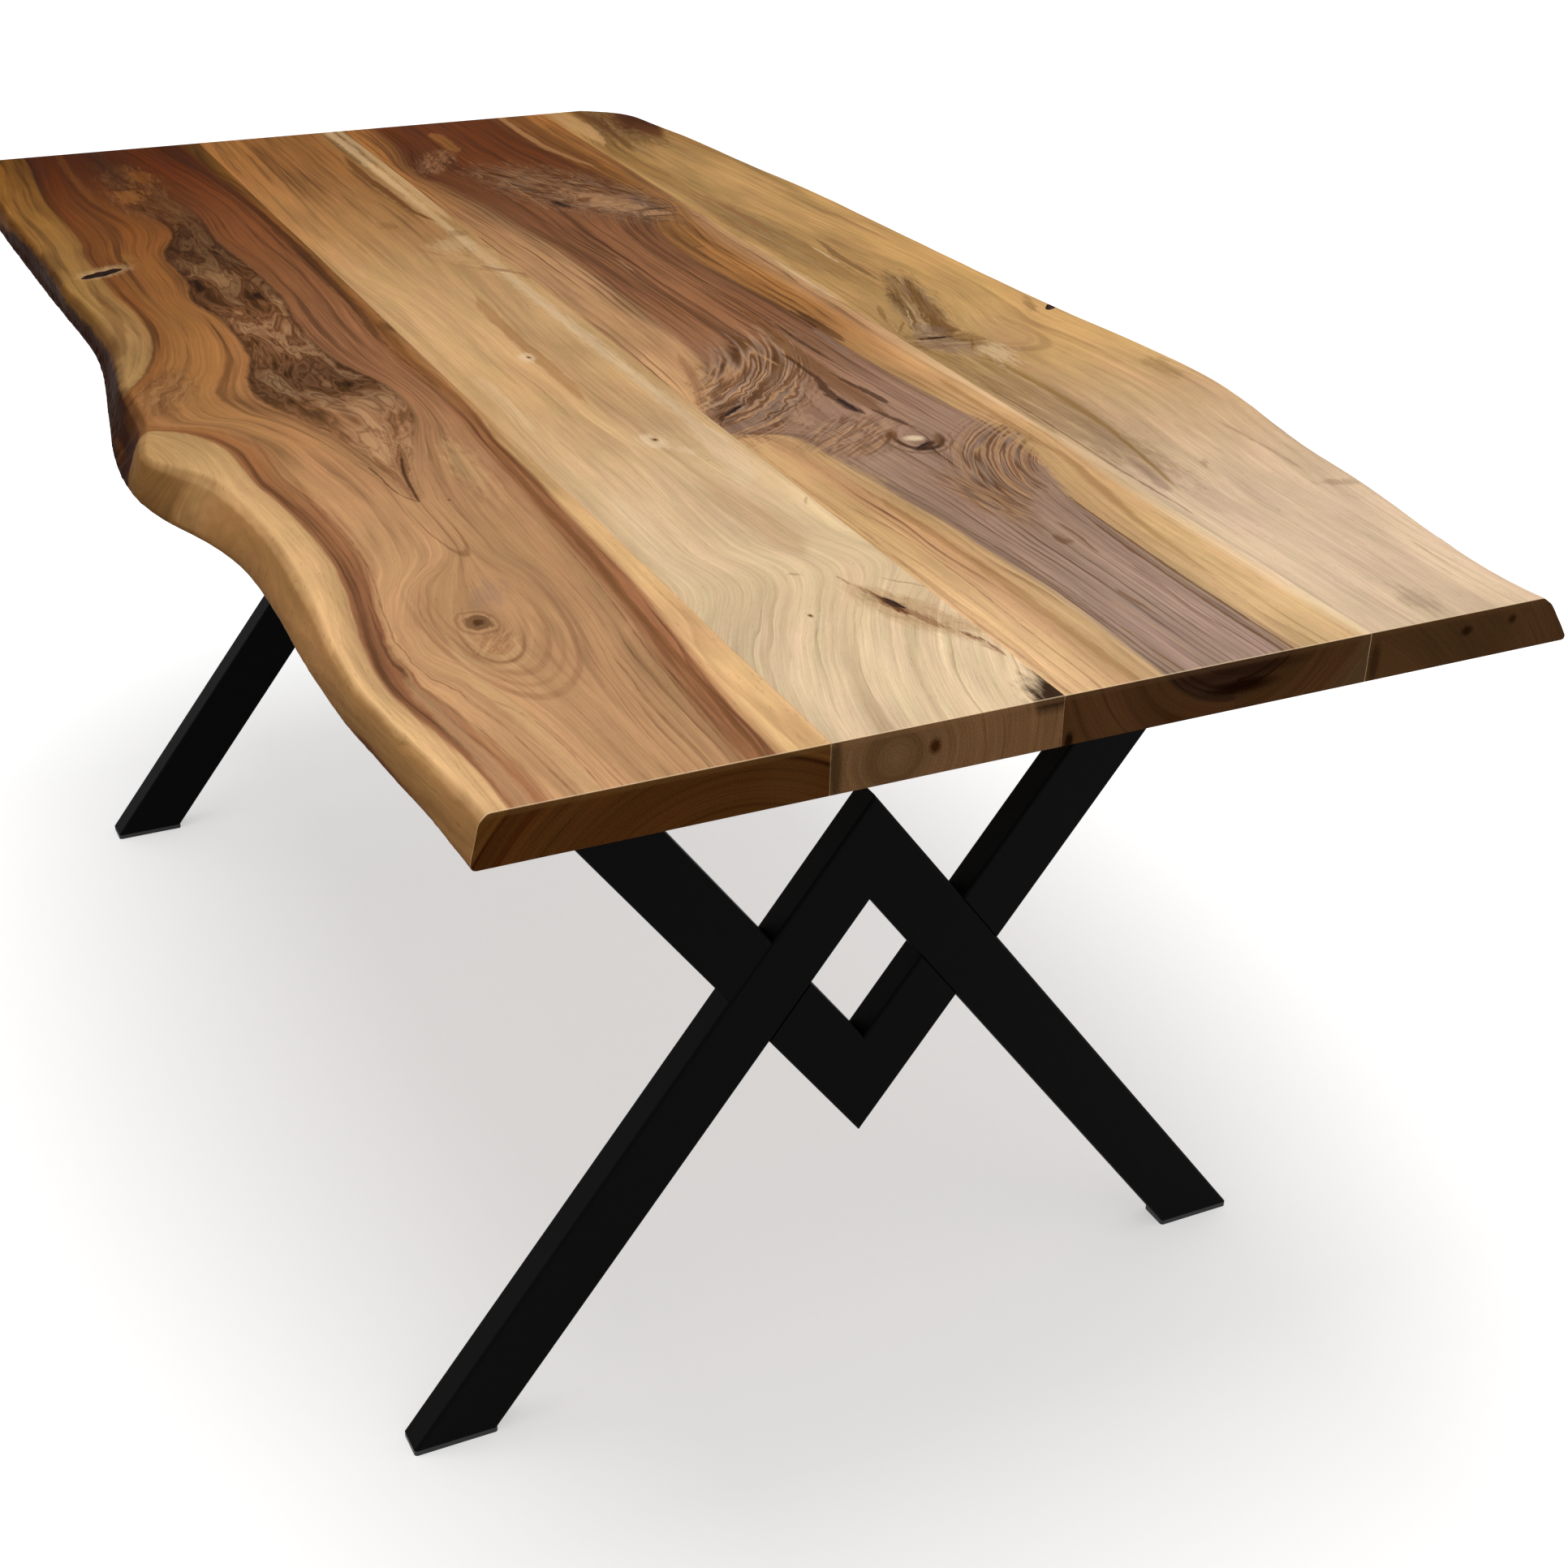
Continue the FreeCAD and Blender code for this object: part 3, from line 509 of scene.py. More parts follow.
LIVE_FRONT = {
    "near": (-50, 480),
    "pith": (-250, 620),
    "end": (0.2, 0.125, 0.055),
    "bark": [(-850, 728), (-700, 736), (-640, 742), (-560, 758), (-400, 758), (-250, 752), (-120, 754), (0, 764),
        (60, 768), (100, 764), (130, 738), (190, 705), (850, 700)],
    "seed": 3.0,
    # From the seam outwards: the seam, the sapwood's limit, the end of the inner dark band, the burl's two
    # sides, the outer dark band's two sides and the edge.
    "lines": [
        (6, [(-850, -176), (850, -176)]),
        (10, [(-830, -204), (-700, -196), (-600, -190), (-500, -186), (-300, -186), (-100, -189), (0, -190),
            (100, -186), (150, -185), (250, -193), (442, -196), (596, -203), (711, -213), (846, -216)]),
        (24, [(-830, -246), (-700, -222), (-600, -209), (-400, -204), (-300, -206), (-100, -212), (0, -212),
            (150, -207), (250, -213), (480, -228), (600, -237), (750, -249), (850, -251)]),
        (45, [(-850, -290), (-650, -272), (-530, -256), (-440, -262), (-300, -252), (-230, -251), (-150, -258),
            (-80, -261), (0, -256), (60, -239), (112, -234), (170, -243), (227, -262), (345, -286), (450, -288),
            (530, -276), (600, -278), (680, -290), (850, -292)]),
        (40, [(-850, -330), (-600, -322), (-500, -301), (-400, -324), (-300, -327), (-235, -338), (-165, -326),
            (-60, -331), (50, -354), (130, -335), (208, -311), (345, -300), (450, -308), (520, -356), (600, -372),
            (700, -345), (850, -330)]),
        (60, [(-822, -375), (-745, -381), (-630, -389), (-533, -385), (-475, -384), (-418, -389), (-300, -390),
            (-200, -384), (-150, -386), (-100, -395), (-50, -412), (0, -440), (50, -474), (95, -470), (108, -446),
            (120, -423), (150, -403), (200, -393), (250, -393), (300, -387), (365, -381), (423, -379), (481, -384),
            (538, -393), (596, -402), (654, -406), (692, -404), (750, -395), (808, -390), (846, -389)]),
        (14, [(-822, -390), (-745, -396), (-630, -404), (-533, -400), (-475, -399), (-418, -406), (-300, -406),
            (-200, -399), (-150, -400), (-100, -410), (-50, -428), (0, -456), (50, -490), (95, -487), (108, -460),
            (120, -438), (150, -417), (200, -407), (250, -408), (300, -402), (365, -396), (423, -394), (481, -399),
            (538, -408), (596, -418), (654, -422), (692, -419), (750, -411), (808, -406), (846, -405)]),
        (60, [(-850, -520), (850, -520)]),
    ],
    "tones": {
        # Past the outer dark band the near tones are sapwood, lifted at 6.15 and 6.5 as a painted highlight inside
        # the live arris.
        "near": [(0, "straw", 1.15), (0.85, "straw", 1.1), (1.1, "chestnut", 1.2), (1.6, "chestnut", 1.15),
            (1.9, "tan", 0.95), (2.4, "tan", 1.0), (3.5, "tan", 1.0), (4.3, "tan", 1.15), (4.75, "tan", 1.1),
            (4.92, "chestnut", 1.25), (5.4, "chestnut", 1.08), (5.85, "chestnut", 1.15), (6.05, "straw", 1.0),
            (6.15, "straw", 1.18), (6.5, "straw", 1.1), (6.8, "straw", 0.9)],
        "middle": [(0, "tan", 0.8), (0.8, "amber", 1.0), (1.2, "umber", 1.45), (1.8, "chestnut", 1.12),
            (2.4, "chestnut", 1.02), (3.5, "chestnut", 0.9), (4.3, "amber", 1.05), (4.8, "amber", 0.95),
            (5.1, "umber", 1.7), (5.7, "umber", 1.5), (6.05, "honey", 0.72), (6.3, "honey", 0.8),
            (6.6, "olive", 0.9)],
        "far": [(0, "olive", 0.6), (0.8, "olive", 0.4), (1.2, "russet", 0.8), (1.7, "russet", 0.9),
            (2.4, "russet", 1.05), (3.5, "russet", 0.5), (4.4, "russet", 0.8), (5.1, "russet", 0.8),
            (5.8, "russet", 0.4), (6.1, "olive", 0.7), (6.4, "olive", 0.85), (6.7, "olive", 0.6)],
    },
    "rings": (7, 7, [(-850, 0.5), (-100, 0.35), (300, 0.35), (480, 0.25), (600, 0.35), (720, 0.5), (850, 0.55)]),
    "burl": (3, 4, [(-850, 0.1), (-720, 0.3), (-600, 0.4), (-540, 0.7), (-440, 1), (60, 1), (120, 0.8), (335, 0.55),
        (350, 0), (850, 0)], [(-850, 0.38), (-480, 0.33), (-380, 0.42), (-290, 0.66), (-240, 0.6), (-181, 0.92),
        (-42, 0.84), (10, 0.58), (60, 0.6), (120, 0.95), (340, 1.3)]),
    "curls": [(20, -420, 160, 120, 7), (640, -390, 300, 60, 3)],
    "knots": [(583, -329, 16, 1.4, 9), (352, -273, 2, 1.5, 1.2)],
    "twisted": [(0.3, "smoke", 0.62), (0.38, "umber", 0.82), (0.43, "chestnut", 0.88), (0.46, "umber", 0.7),
        (0.5, "chestnut", 0.95), (0.55, "tan", 0.78), (0.58, "chestnut", 0.75), (0.62, "tan", 0.85),
        (0.69, "tan", 0.97)],
    "swirls": [
        (-655, -298, -3, 270, 80, 60, 10, 0.5, 0.55), (20, -425, -25, 150, 60, 60, 9, 0.4, 0.8),
        (622, -330, -38, 70, 40, 30, 5, 0.35, 1.7),
    ],
    "end_spots": [("tan", 0.05, -208, 745, 50, 60)],
    "drift": [(-850, 0.95, 1), (-600, 1.3, 0.7), (-300, 0.95, 0.4), (50, 1, 0), (450, 0.95, 0), (850, 1.05, -0.1)],
    "loops": [
        ("chestnut", 0.35, 1.6, 560, -320, -3, 226, 72), ("chestnut", 0.25, 1.2, 560, -319, -3, 266, 86),
        ("chestnut", 0.4, 1.8, 560, -318, -3, 306, 100), ("chestnut", 0.3, 1.4, 556, -322, -3, 190, 54),
        ("umber", 0.45, 1.0, 380, -297, 0, 160, 24), ("straw", 0.4, 2, 600, -326, -8, 90, 34),
        ("umber", 0.35, 1.2, 600, -326, -8, 104, 44), ("straw", 0.3, 2, 596, -328, -8, 128, 58),
    ],
    "streaks": [
        ("tan", 0.7, 1.5, 5, [(600, -402, -4), (660, -405, 5), (760, -398, 8), (850, -394, 9)]),
        ("umber", 0.45, 2, 6, [(-350, -414, -5), (-280, -418, 6), (-200, -420, 8), (-120, -432, 8), (-70, -440, -5)]),
        ("straw", 0.45, 3, 7, [(560, -352, -5), (620, -360, 5), (680, -362, 9), (740, -354, 9), (850, -352, 8)]),
        ("umber", 0.35, 1, 1.2, [(640, -382, -1), (690, -368, 1.2), (750, -349, 1.2), (850, -343, 1)]),
        ("umber", 0.35, 1, 1.2, [(600, -276, -1), (690, -262, 1.3), (750, -268, 1.3), (850, -266, 1)]),
        ("umber", 0.5, 1.2, 2.5, [(200, -199, -2), (260, -201, 3), (365, -206, 4), (481, -208, 4.5), (577, -216, 4.5),
            (673, -222, 4.5), (750, -224, 4), (850, -228, 4)]),
        ("umber", 0.45, 0.7, 1.2, [(420, -219, -1), (520, -224, 1.2), (640, -234, 1.3), (750, -241, 1.3),
            (850, -243, 1.3)]),
        ("smoke", 0.6, 1.6, 4, [(-850, -226, 13), (-780, -220, 10), (-700, -207, 6), (-600, -197, 6), (-400, -191, 6),
            (-300, -193, 7), (-110, -198, 5), (-70, -200, 4), (0, -199, 3), (100, -195, 2), (180, -196, -3)]),
        ("umber", 0.5, 0.8, 1.5, [(230, -382, -1), (260, -380, 1.2), (327, -371, 1.4), (404, -368, 1.4),
            (481, -374, 1.4), (558, -389, 1.4), (615, -393, 1.4), (692, -380, 1.3), (750, -370, 1.3),
            (850, -362, 1)]),
        ("smoke", 0.75, 1.0, 1.5, [(230, -270, -1), (260, -280, 2), (300, -288, 2.2), (345, -294, 1.5),
            (352, -295, -1)]),
        ("smoke", 0.7, 1.0, 1.5, [(225, -318, -1), (260, -310, 1.6), (330, -303, 1.6), (345, -296, 1),
            (352, -295, -1)]),
        ("umber", 0.6, 2.5, 5, [(-860, -346, 7), (-700, -350, 7), (-600, -345, 5), (-550, -330, 5), (-500, -320, 4),
            (-440, -315, -4)]),
    ],
    "spots": [
        ("plum", 0.35, 0.7, 540, -306, -20, 60, 28), ("tan", 0.35, 0.6, 575, -315, -12, 56, 14),
        ("tan", 0.35, 0.6, 770, -312, 0, 200, 34), ("straw", 0.35, 0.6, 290, -236, -4, 150, 30),
        ("cream", 0.35, 0.3, -362, -396, -64, 70, 34), ("smoke", 0.5, 0.5, -92, -184, 0, 40, 22),
        ("smoke", 0.35, 0.5, -125, -176, 60, 20, 8), ("amber", 0.4, 0.8, -640, -308, -8, 70, 36),
        ("amber", 0.3, 0.8, -715, -280, 0, 70, 26), ("smoke", 0.6, 0.6, -668, -306, 80, 40, 12),
        ("olive", 0.5, 0.5, -404, -362, 0, 30, 16),
    ],
}

LIVE_REAR = {
    "near": (150, 640),
    "pith": (150, 560),
    "end": (0.145, 0.09, 0.05),
    "seed": 17.0,
    "lines": [
        (4, [(-850, 258), (850, 258)]),
        (25, [(-850, 296), (-760, 292), (-650, 266), (-400, 282), (-250, 292), (0, 296), (60, 288), (135, 282),
            (200, 290), (300, 300), (420, 296), (500, 286), (600, 272), (850, 272)]),
        (25, [(-850, 322), (-700, 312), (-550, 318), (-400, 322), (-200, 340), (-60, 352), (0, 350), (60, 330),
            (130, 306), (200, 322), (300, 324), (400, 318), (500, 304), (600, 290), (850, 290)]),
        (80, [(-850, 345), (-700, 395), (-400, 430), (0, 458), (200, 476), (320, 488), (500, 462), (690, 440),
            (850, 434)]),
    ],
    "tones": {
        "near": [(0, "cream", 0.95), (0.5, "blush", 0.93), (1.2, "blush", 0.95), (2.2, "blush", 0.93),
            (3, "blush", 1.0)],
        "middle": [(0, "honey", 0.9), (0.6, "honey", 0.85), (1.2, "honey", 0.8), (1.8, "honey", 0.85),
            (2.1, "honey", 0.95), (2.6, "honey", 1.1), (3, "honey", 1.15)],
        "far": [(0, "honey", 1.0), (0.7, "honey", 0.95), (1.2, "olive", 0.95), (1.9, "honey", 0.75),
            (2.5, "honey", 0.85), (3, "olive", 1.25)],
    },
    "rings": (7, 7, [(-850, 0.35), (300, 0.3), (500, 0.12), (850, 0.12)]),
    "curls": [(120, 300, 150, 120, 6)],
    "knots": [(134, 294, 14, 1.2, 0)],
    "twisted": [(0.3, "smoke", 1.2), (0.38, "umber", 0.8), (0.43, "honey", 0.6), (0.47, "umber", 0.9),
        (0.52, "honey", 0.75), (0.57, "plum", 0.85), (0.62, "honey", 0.9), (0.7, "blush", 0.8)],
    "swirls": [
        (50, 324, -17, 290, 60, 140, 10, 0.85, 0.8), (146, 300, 74, 100, 70, 40, 9, 0.7, 0.9),
        (345, 296, 2, 440, 76, 190, 11, 0.45, 0.95), (-765, 335, -10, 280, 110, 90, 14, 0.6, 0.55),
        (-240, 300, 2, 420, 60, 190, 11, 0.4, 0.8),
    ],
    "end_spots": [("smoke", 0.9, 352, 751, 12, 9), ("smoke", 0.8, 395, 753, 9, 9), ("smoke", 0.6, 268, 740, 10, 40)],
    "drift": [(-850, 0.85, 0.5), (-600, 1, 0.15), (-450, 1.05, 0), (-150, 1, 0.05), (150, 1.03, -0.15),
        (450, 0.95, 0.05), (760, 1, 0)],
    "loops": [("umber", 0.3, 4, 120, 350, 20, 160, 80), ("umber", 0.2, 2.5, 132, 354, 20, 100, 50)],
    "streaks": [
        ("russet", 0.9, 3, 12, [(-860, 368, 24), (-760, 363, 24), (-700, 360, 12), (-650, 356, -8)]),
        ("umber", 0.6, 1.0, 1.6, [(262, 266, -1), (290, 268, 1.5), (340, 271, 2), (420, 272, 2), (500, 270, 2),
            (600, 271, 1.5), (620, 271, -1)]),
        ("olive", 0.75, 1.4, 4, [(180, 292, -2), (205, 310, 4), (240, 321, 6), (320, 322, 6), (400, 318, 5),
            (450, 310, 4), (520, 297, 4), (590, 284, -2)]),
        ("plum", 0.6, 2.0, 6, [(450, 292, -4), (500, 289, 7), (540, 284, 8), (580, 278, -4)]),
        ("umber", 0.6, 2.5, 7, [(-50, 350, -5), (-20, 348, 7), (20, 342, 9), (60, 330, 10), (100, 318, 12),
            (130, 314, 10), (150, 306, -4)]),
        ("plum", 0.3, 2.5, 8, [(70, 300, -6), (110, 296, 20), (150, 292, 26), (190, 300, 14), (215, 308, -5)]),
        ("umber", 0.45, 1, 1.4, [(20, 322, -1), (60, 310, 1.6), (105, 288, 1.4), (115, 282, -1)]),
        ("cream", 0.4, 0.8, 1.2, [(25, 318, -1), (60, 305, 1.3), (90, 291, 1.2), (105, 284, -1)]),
        ("umber", 0.5, 1, 1.4, [(135, 332, -1), (155, 322, 1.6), (180, 309, 1.4), (190, 303, -1)]),
        ("smoke", 0.5, 1.6, 3, [(-250, 338, -3), (-200, 338, 4), (-140, 332, 6), (-70, 332, 4), (-30, 330, -3)]),
        ("cream", 0.4, 1.0, 1.5, [(-210, 322, -1), (-150, 322, 2.5), (-80, 320, -1)]),
        ("olive", 0.5, 1.6, 3, [(-210, 312, -2), (-140, 313, 4), (-70, 312, 3), (0, 312, -2)]),
        ("chestnut", 0.7, 1.6, 4, [(-460, 300, -3), (-380, 300, 5), (-300, 304, 6), (-220, 304, -3)]),
        ("chestnut", 0.45, 1.2, 3, [(-560, 282, -2), (-420, 280, 3), (-300, 279, 4), (-150, 280, 3), (-60, 284, -3)]),
        ("straw", 0.5, 1.0, 3, [(-280, 266, -3), (-200, 266, 5), (-80, 264, 6), (0, 264, 3), (30, 264, -3)]),
        ("umber", 0.5, 1.2, 2, [(10, 292, -1), (40, 284, 4), (60, 278, 3), (85, 268, -1)]),
        ("umber", 0.5, 1.2, 2, [(60, 292, -1), (90, 280, 2.5), (110, 268, 2), (120, 262, -1)]),
        ("umber", 0.45, 1.0, 1.5, [(20, 322, -1), (60, 308, 2), (100, 290, 2), (118, 278, -1)]),
        ("umber", 0.4, 1.0, 1.5, [(140, 330, -1), (165, 318, 2), (185, 306, -1)]),
        ("umber", 0.35, 2.0, 5, [(400, 418, -4), (450, 420, 4), (540, 418, 4), (580, 416, -4)]),
        ("umber", 0.25, 1.0, 2, [(700, 405, -2), (740, 400, 3), (800, 397, 2), (850, 398, 2)]),
        ("cream", 0.3, 2.0, 6, [(500, 296, -3), (620, 276, 4), (740, 268, 5), (850, 268, 5)]),
        ("straw", 0.7, 2.0, 6, [(-860, 278, 16), (-780, 280, 18), (-700, 280, 10), (-650, 268, -4)]),
        ("umber", 0.7, 2.0, 5, [(-850, 306, 8), (-780, 308, 8), (-700, 306, 6), (-640, 300, 4), (-600, 302, -4)]),
    ],
    "spots": [
        ("smoke", 0.85, 0.35, 134, 294, 84, 44, 9), ("russet", 0.8, 0.5, -785, 360, -30, 140, 80),
        ("smoke", 0.5, 0.5, -775, 362, -12, 150, 46), ("umber", 0.35, 0.6, -700, 352, -5, 120, 26),
        ("umber", 0.3, 0.6, 595, 430, 70, 44, 14), ("plum", 0.35, 0.6, 812, 335, 0, 60, 26),
        ("umber", 0.3, 0.6, 514, 346, -30, 24, 8), ("tan", 0.5, 0.6, 140, 368, 0, 110, 60),
        ("cream", 0.3, 0.8, 196, 332, -10, 66, 34), ("umber", 0.45, 0.5, 75, 436, -20, 50, 14),
        ("olive", 0.4, 0.7, 290, 455, 0, 60, 30),
    ],
}

INNER_FRONT = {
    "near": (100, 640),
    "pith": (-130, 745),
    "end": (0.31, 0.21, 0.14),
    "seed": 9.0,
    "lines": [
        (4, [(-850, -184), (850, -184)]),
        (40, [(-850, -150), (-300, -165), (-100, -150), (100, -150), (300, -158), (850, -160)]),
        (60, [(-850, -95), (-400, -95), (-100, -95), (45, -96), (200, -95), (300, -88), (500, -95), (850, -90)]),
        (50, [(-850, -35), (-600, -38), (-450, -28), (-200, -40), (0, -55), (290, -58), (500, -35), (850, -30)]),
        (30, [(-850, 4), (850, 4)]),
    ],
    "tones": {
        "near": [(0, "straw", 1.15), (0.3, "cream", 0.85), (1, "cream", 0.92), (2, "cream", 0.95), (3, "cream", 0.98),
            (4, "cream", 1.0)],
        "middle": [(0, "straw", 0.86), (1, "straw", 0.92), (2, "straw", 0.86), (2.5, "straw", 0.76),
            (3.2, "straw", 0.76), (4, "straw", 0.84)],
        "far": [(0, "amber", 1.1), (0.6, "amber", 1.15), (1, "amber", 1.05), (2, "amber", 0.85), (2.9, "amber", 0.87),
            (3.3, "honey", 0.6), (4, "honey", 0.68)],
    },
    "rings": (15, 5, [(-850, 0.3), (450, 0.25), (540, 0.08), (620, 0.3), (680, 0.9), (850, 1.0)]),
    "arcs": (520, 650, 940, 386, 671),
    "curls": [],
    "knots": [(45, -90, 6, 1.4, 1.8), (288, -66, 7, 1.5, 2.0), (664, -104, 4, 1.5, 1.3)],
    "twisted": [(0.3, "amber", 1.0), (0.4, "honey", 0.9), (0.45, "straw", 0.95), (0.49, "tan", 1.1),
        (0.54, "straw", 1.1), (0.6, "honey", 1.1), (0.68, "cream", 1.0)],
    "swirls": [
        (-250, -25, 30, 200, 60, 60, 12, 0.5, 1.0), (690, -26, 24, 150, 46, 30, 8, 0.55, 0.8),
        (-560, -34, 2, 320, 26, 120, 6, 0.5, 0.75),
    ],
    "end_spots": [
        ("russet", 0.95, -101, 747, 10, 13), ("bark", 0.9, 1, 728, 5, 16), ("smoke", 0.6, -176, 745, 10, 60),
    ],
    "drift": [(-850, 1.05, 0.3), (-450, 1, 0.4), (-250, 0.9, 0.15), (0, 1, 0), (600, 0.95, 0.1), (740, 1, 0)],
    "loops": [],
    "streaks": [
        ("umber", 0.95, 1.8, 5, [(-760, -36, -4), (-700, -38, 6), (-620, -40, 8), (-550, -38, 8), (-470, -34, 6),
            (-420, -22, 3), (-390, -12, -3)]),
        ("cream", 0.22, 4, 14, [(40, -158, -8), (110, -156, 12), (200, -155, 12), (270, -156, -8)]),
        ("cream", 0.3, 1.0, 4, [(-860, -4, 5), (-600, -4, 7), (-450, -5, 5), (-380, -6, -3)]),
        ("straw", 0.45, 2.0, 6, [(-760, -16, -3), (-650, -17, 8), (-500, -14, 8), (-400, -10, -3)]),
        ("amber", 0.5, 2.5, 6, [(-180, -68, -5), (-120, -75, 9), (0, -80, 10), (140, -84, 9), (220, -88, -5)]),
        ("amber", 0.35, 2.0, 5, [(-180, -20, -4), (-100, -14, 5), (40, -18, 5), (120, -16, -4)]),
        ("amber", 0.25, 3, 18, [(300, -70, -12), (400, -62, 18), (520, -55, 26), (590, -60, -10)]),
        ("cream", 0.4, 3, 8, [(250, -18, 10), (330, -20, 16), (400, -30, 14), (430, -45, -6)]),
        ("cream", 0.35, 2, 6, [(340, -155, -4), (420, -152, 8), (500, -158, 10), (580, -164, 8), (640, -170, -4)]),
        ("chestnut", 0.7, 4.5, 4, [(590, -56, -3), (620, -49, 4), (650, -40, 5), (680, -32, 7), (705, -24, 6),
            (735, -10, 4), (765, -4, 3), (800, -1, -3)]),
        ("russet", 0.75, 3.5, 2, [(630, -46, -3), (655, -38, 2), (670, -35, 3), (690, -32, 2), (715, -22, -2),
            (750, -4, 2), (775, -2, -3)]),
        ("umber", 0.4, 1.0, 2, [(612, -28, -1), (630, -14, 2), (648, 0, 2), (655, 3, -1)]),
        ("umber", 0.4, 1.0, 2, [(448, 0, -1), (462, -6, 2.5), (475, -10, -1)]),
        ("chestnut", 0.5, 1.5, 4, [(-262, -42, -3), (-240, -28, 6), (-215, -10, 6), (-200, 0, 5), (-185, -12, -3)]),
        ("straw", 0.5, 1.5, 4, [(-330, -12, -3), (-290, -12, 12), (-250, -16, 8), (-225, -6, 4), (-205, 2, -3)]),
    ],
    "spots": [
        ("cream", 0.5, 0.4, 45, -92, -15, 30, 20), ("cream", 0.6, 0.4, 292, -68, 10, 38, 26),
        ("cream", 0.4, 0.5, 322, -50, 30, 26, 14), ("cream", 0.4, 0.5, 668, -104, 0, 44, 22),
        ("smoke", 0.8, 0.7, 667, -36, 14, 32, 8), ("bark", 0.97, 0.35, 848, -4, -26, 112, 50),
        ("chestnut", 0.35, 0.5, -230, -24, 50, 34, 12), ("umber", 0.4, 0.5, -372, -16, 0, 30, 24),
        ("umber", 0.3, 0.6, -425, -80, 0, 36, 22), ("olive", 0.3, 0.7, -820, -150, 0, 110, 40),
        ("cream", 0.25, 0.7, -330, -40, -20, 60, 40), ("umber", 0.35, 0.5, 592, -82, 60, 14, 5),
        ("cream", 0.4, 0.5, 572, -84, 85, 36, 4),
    ],
}

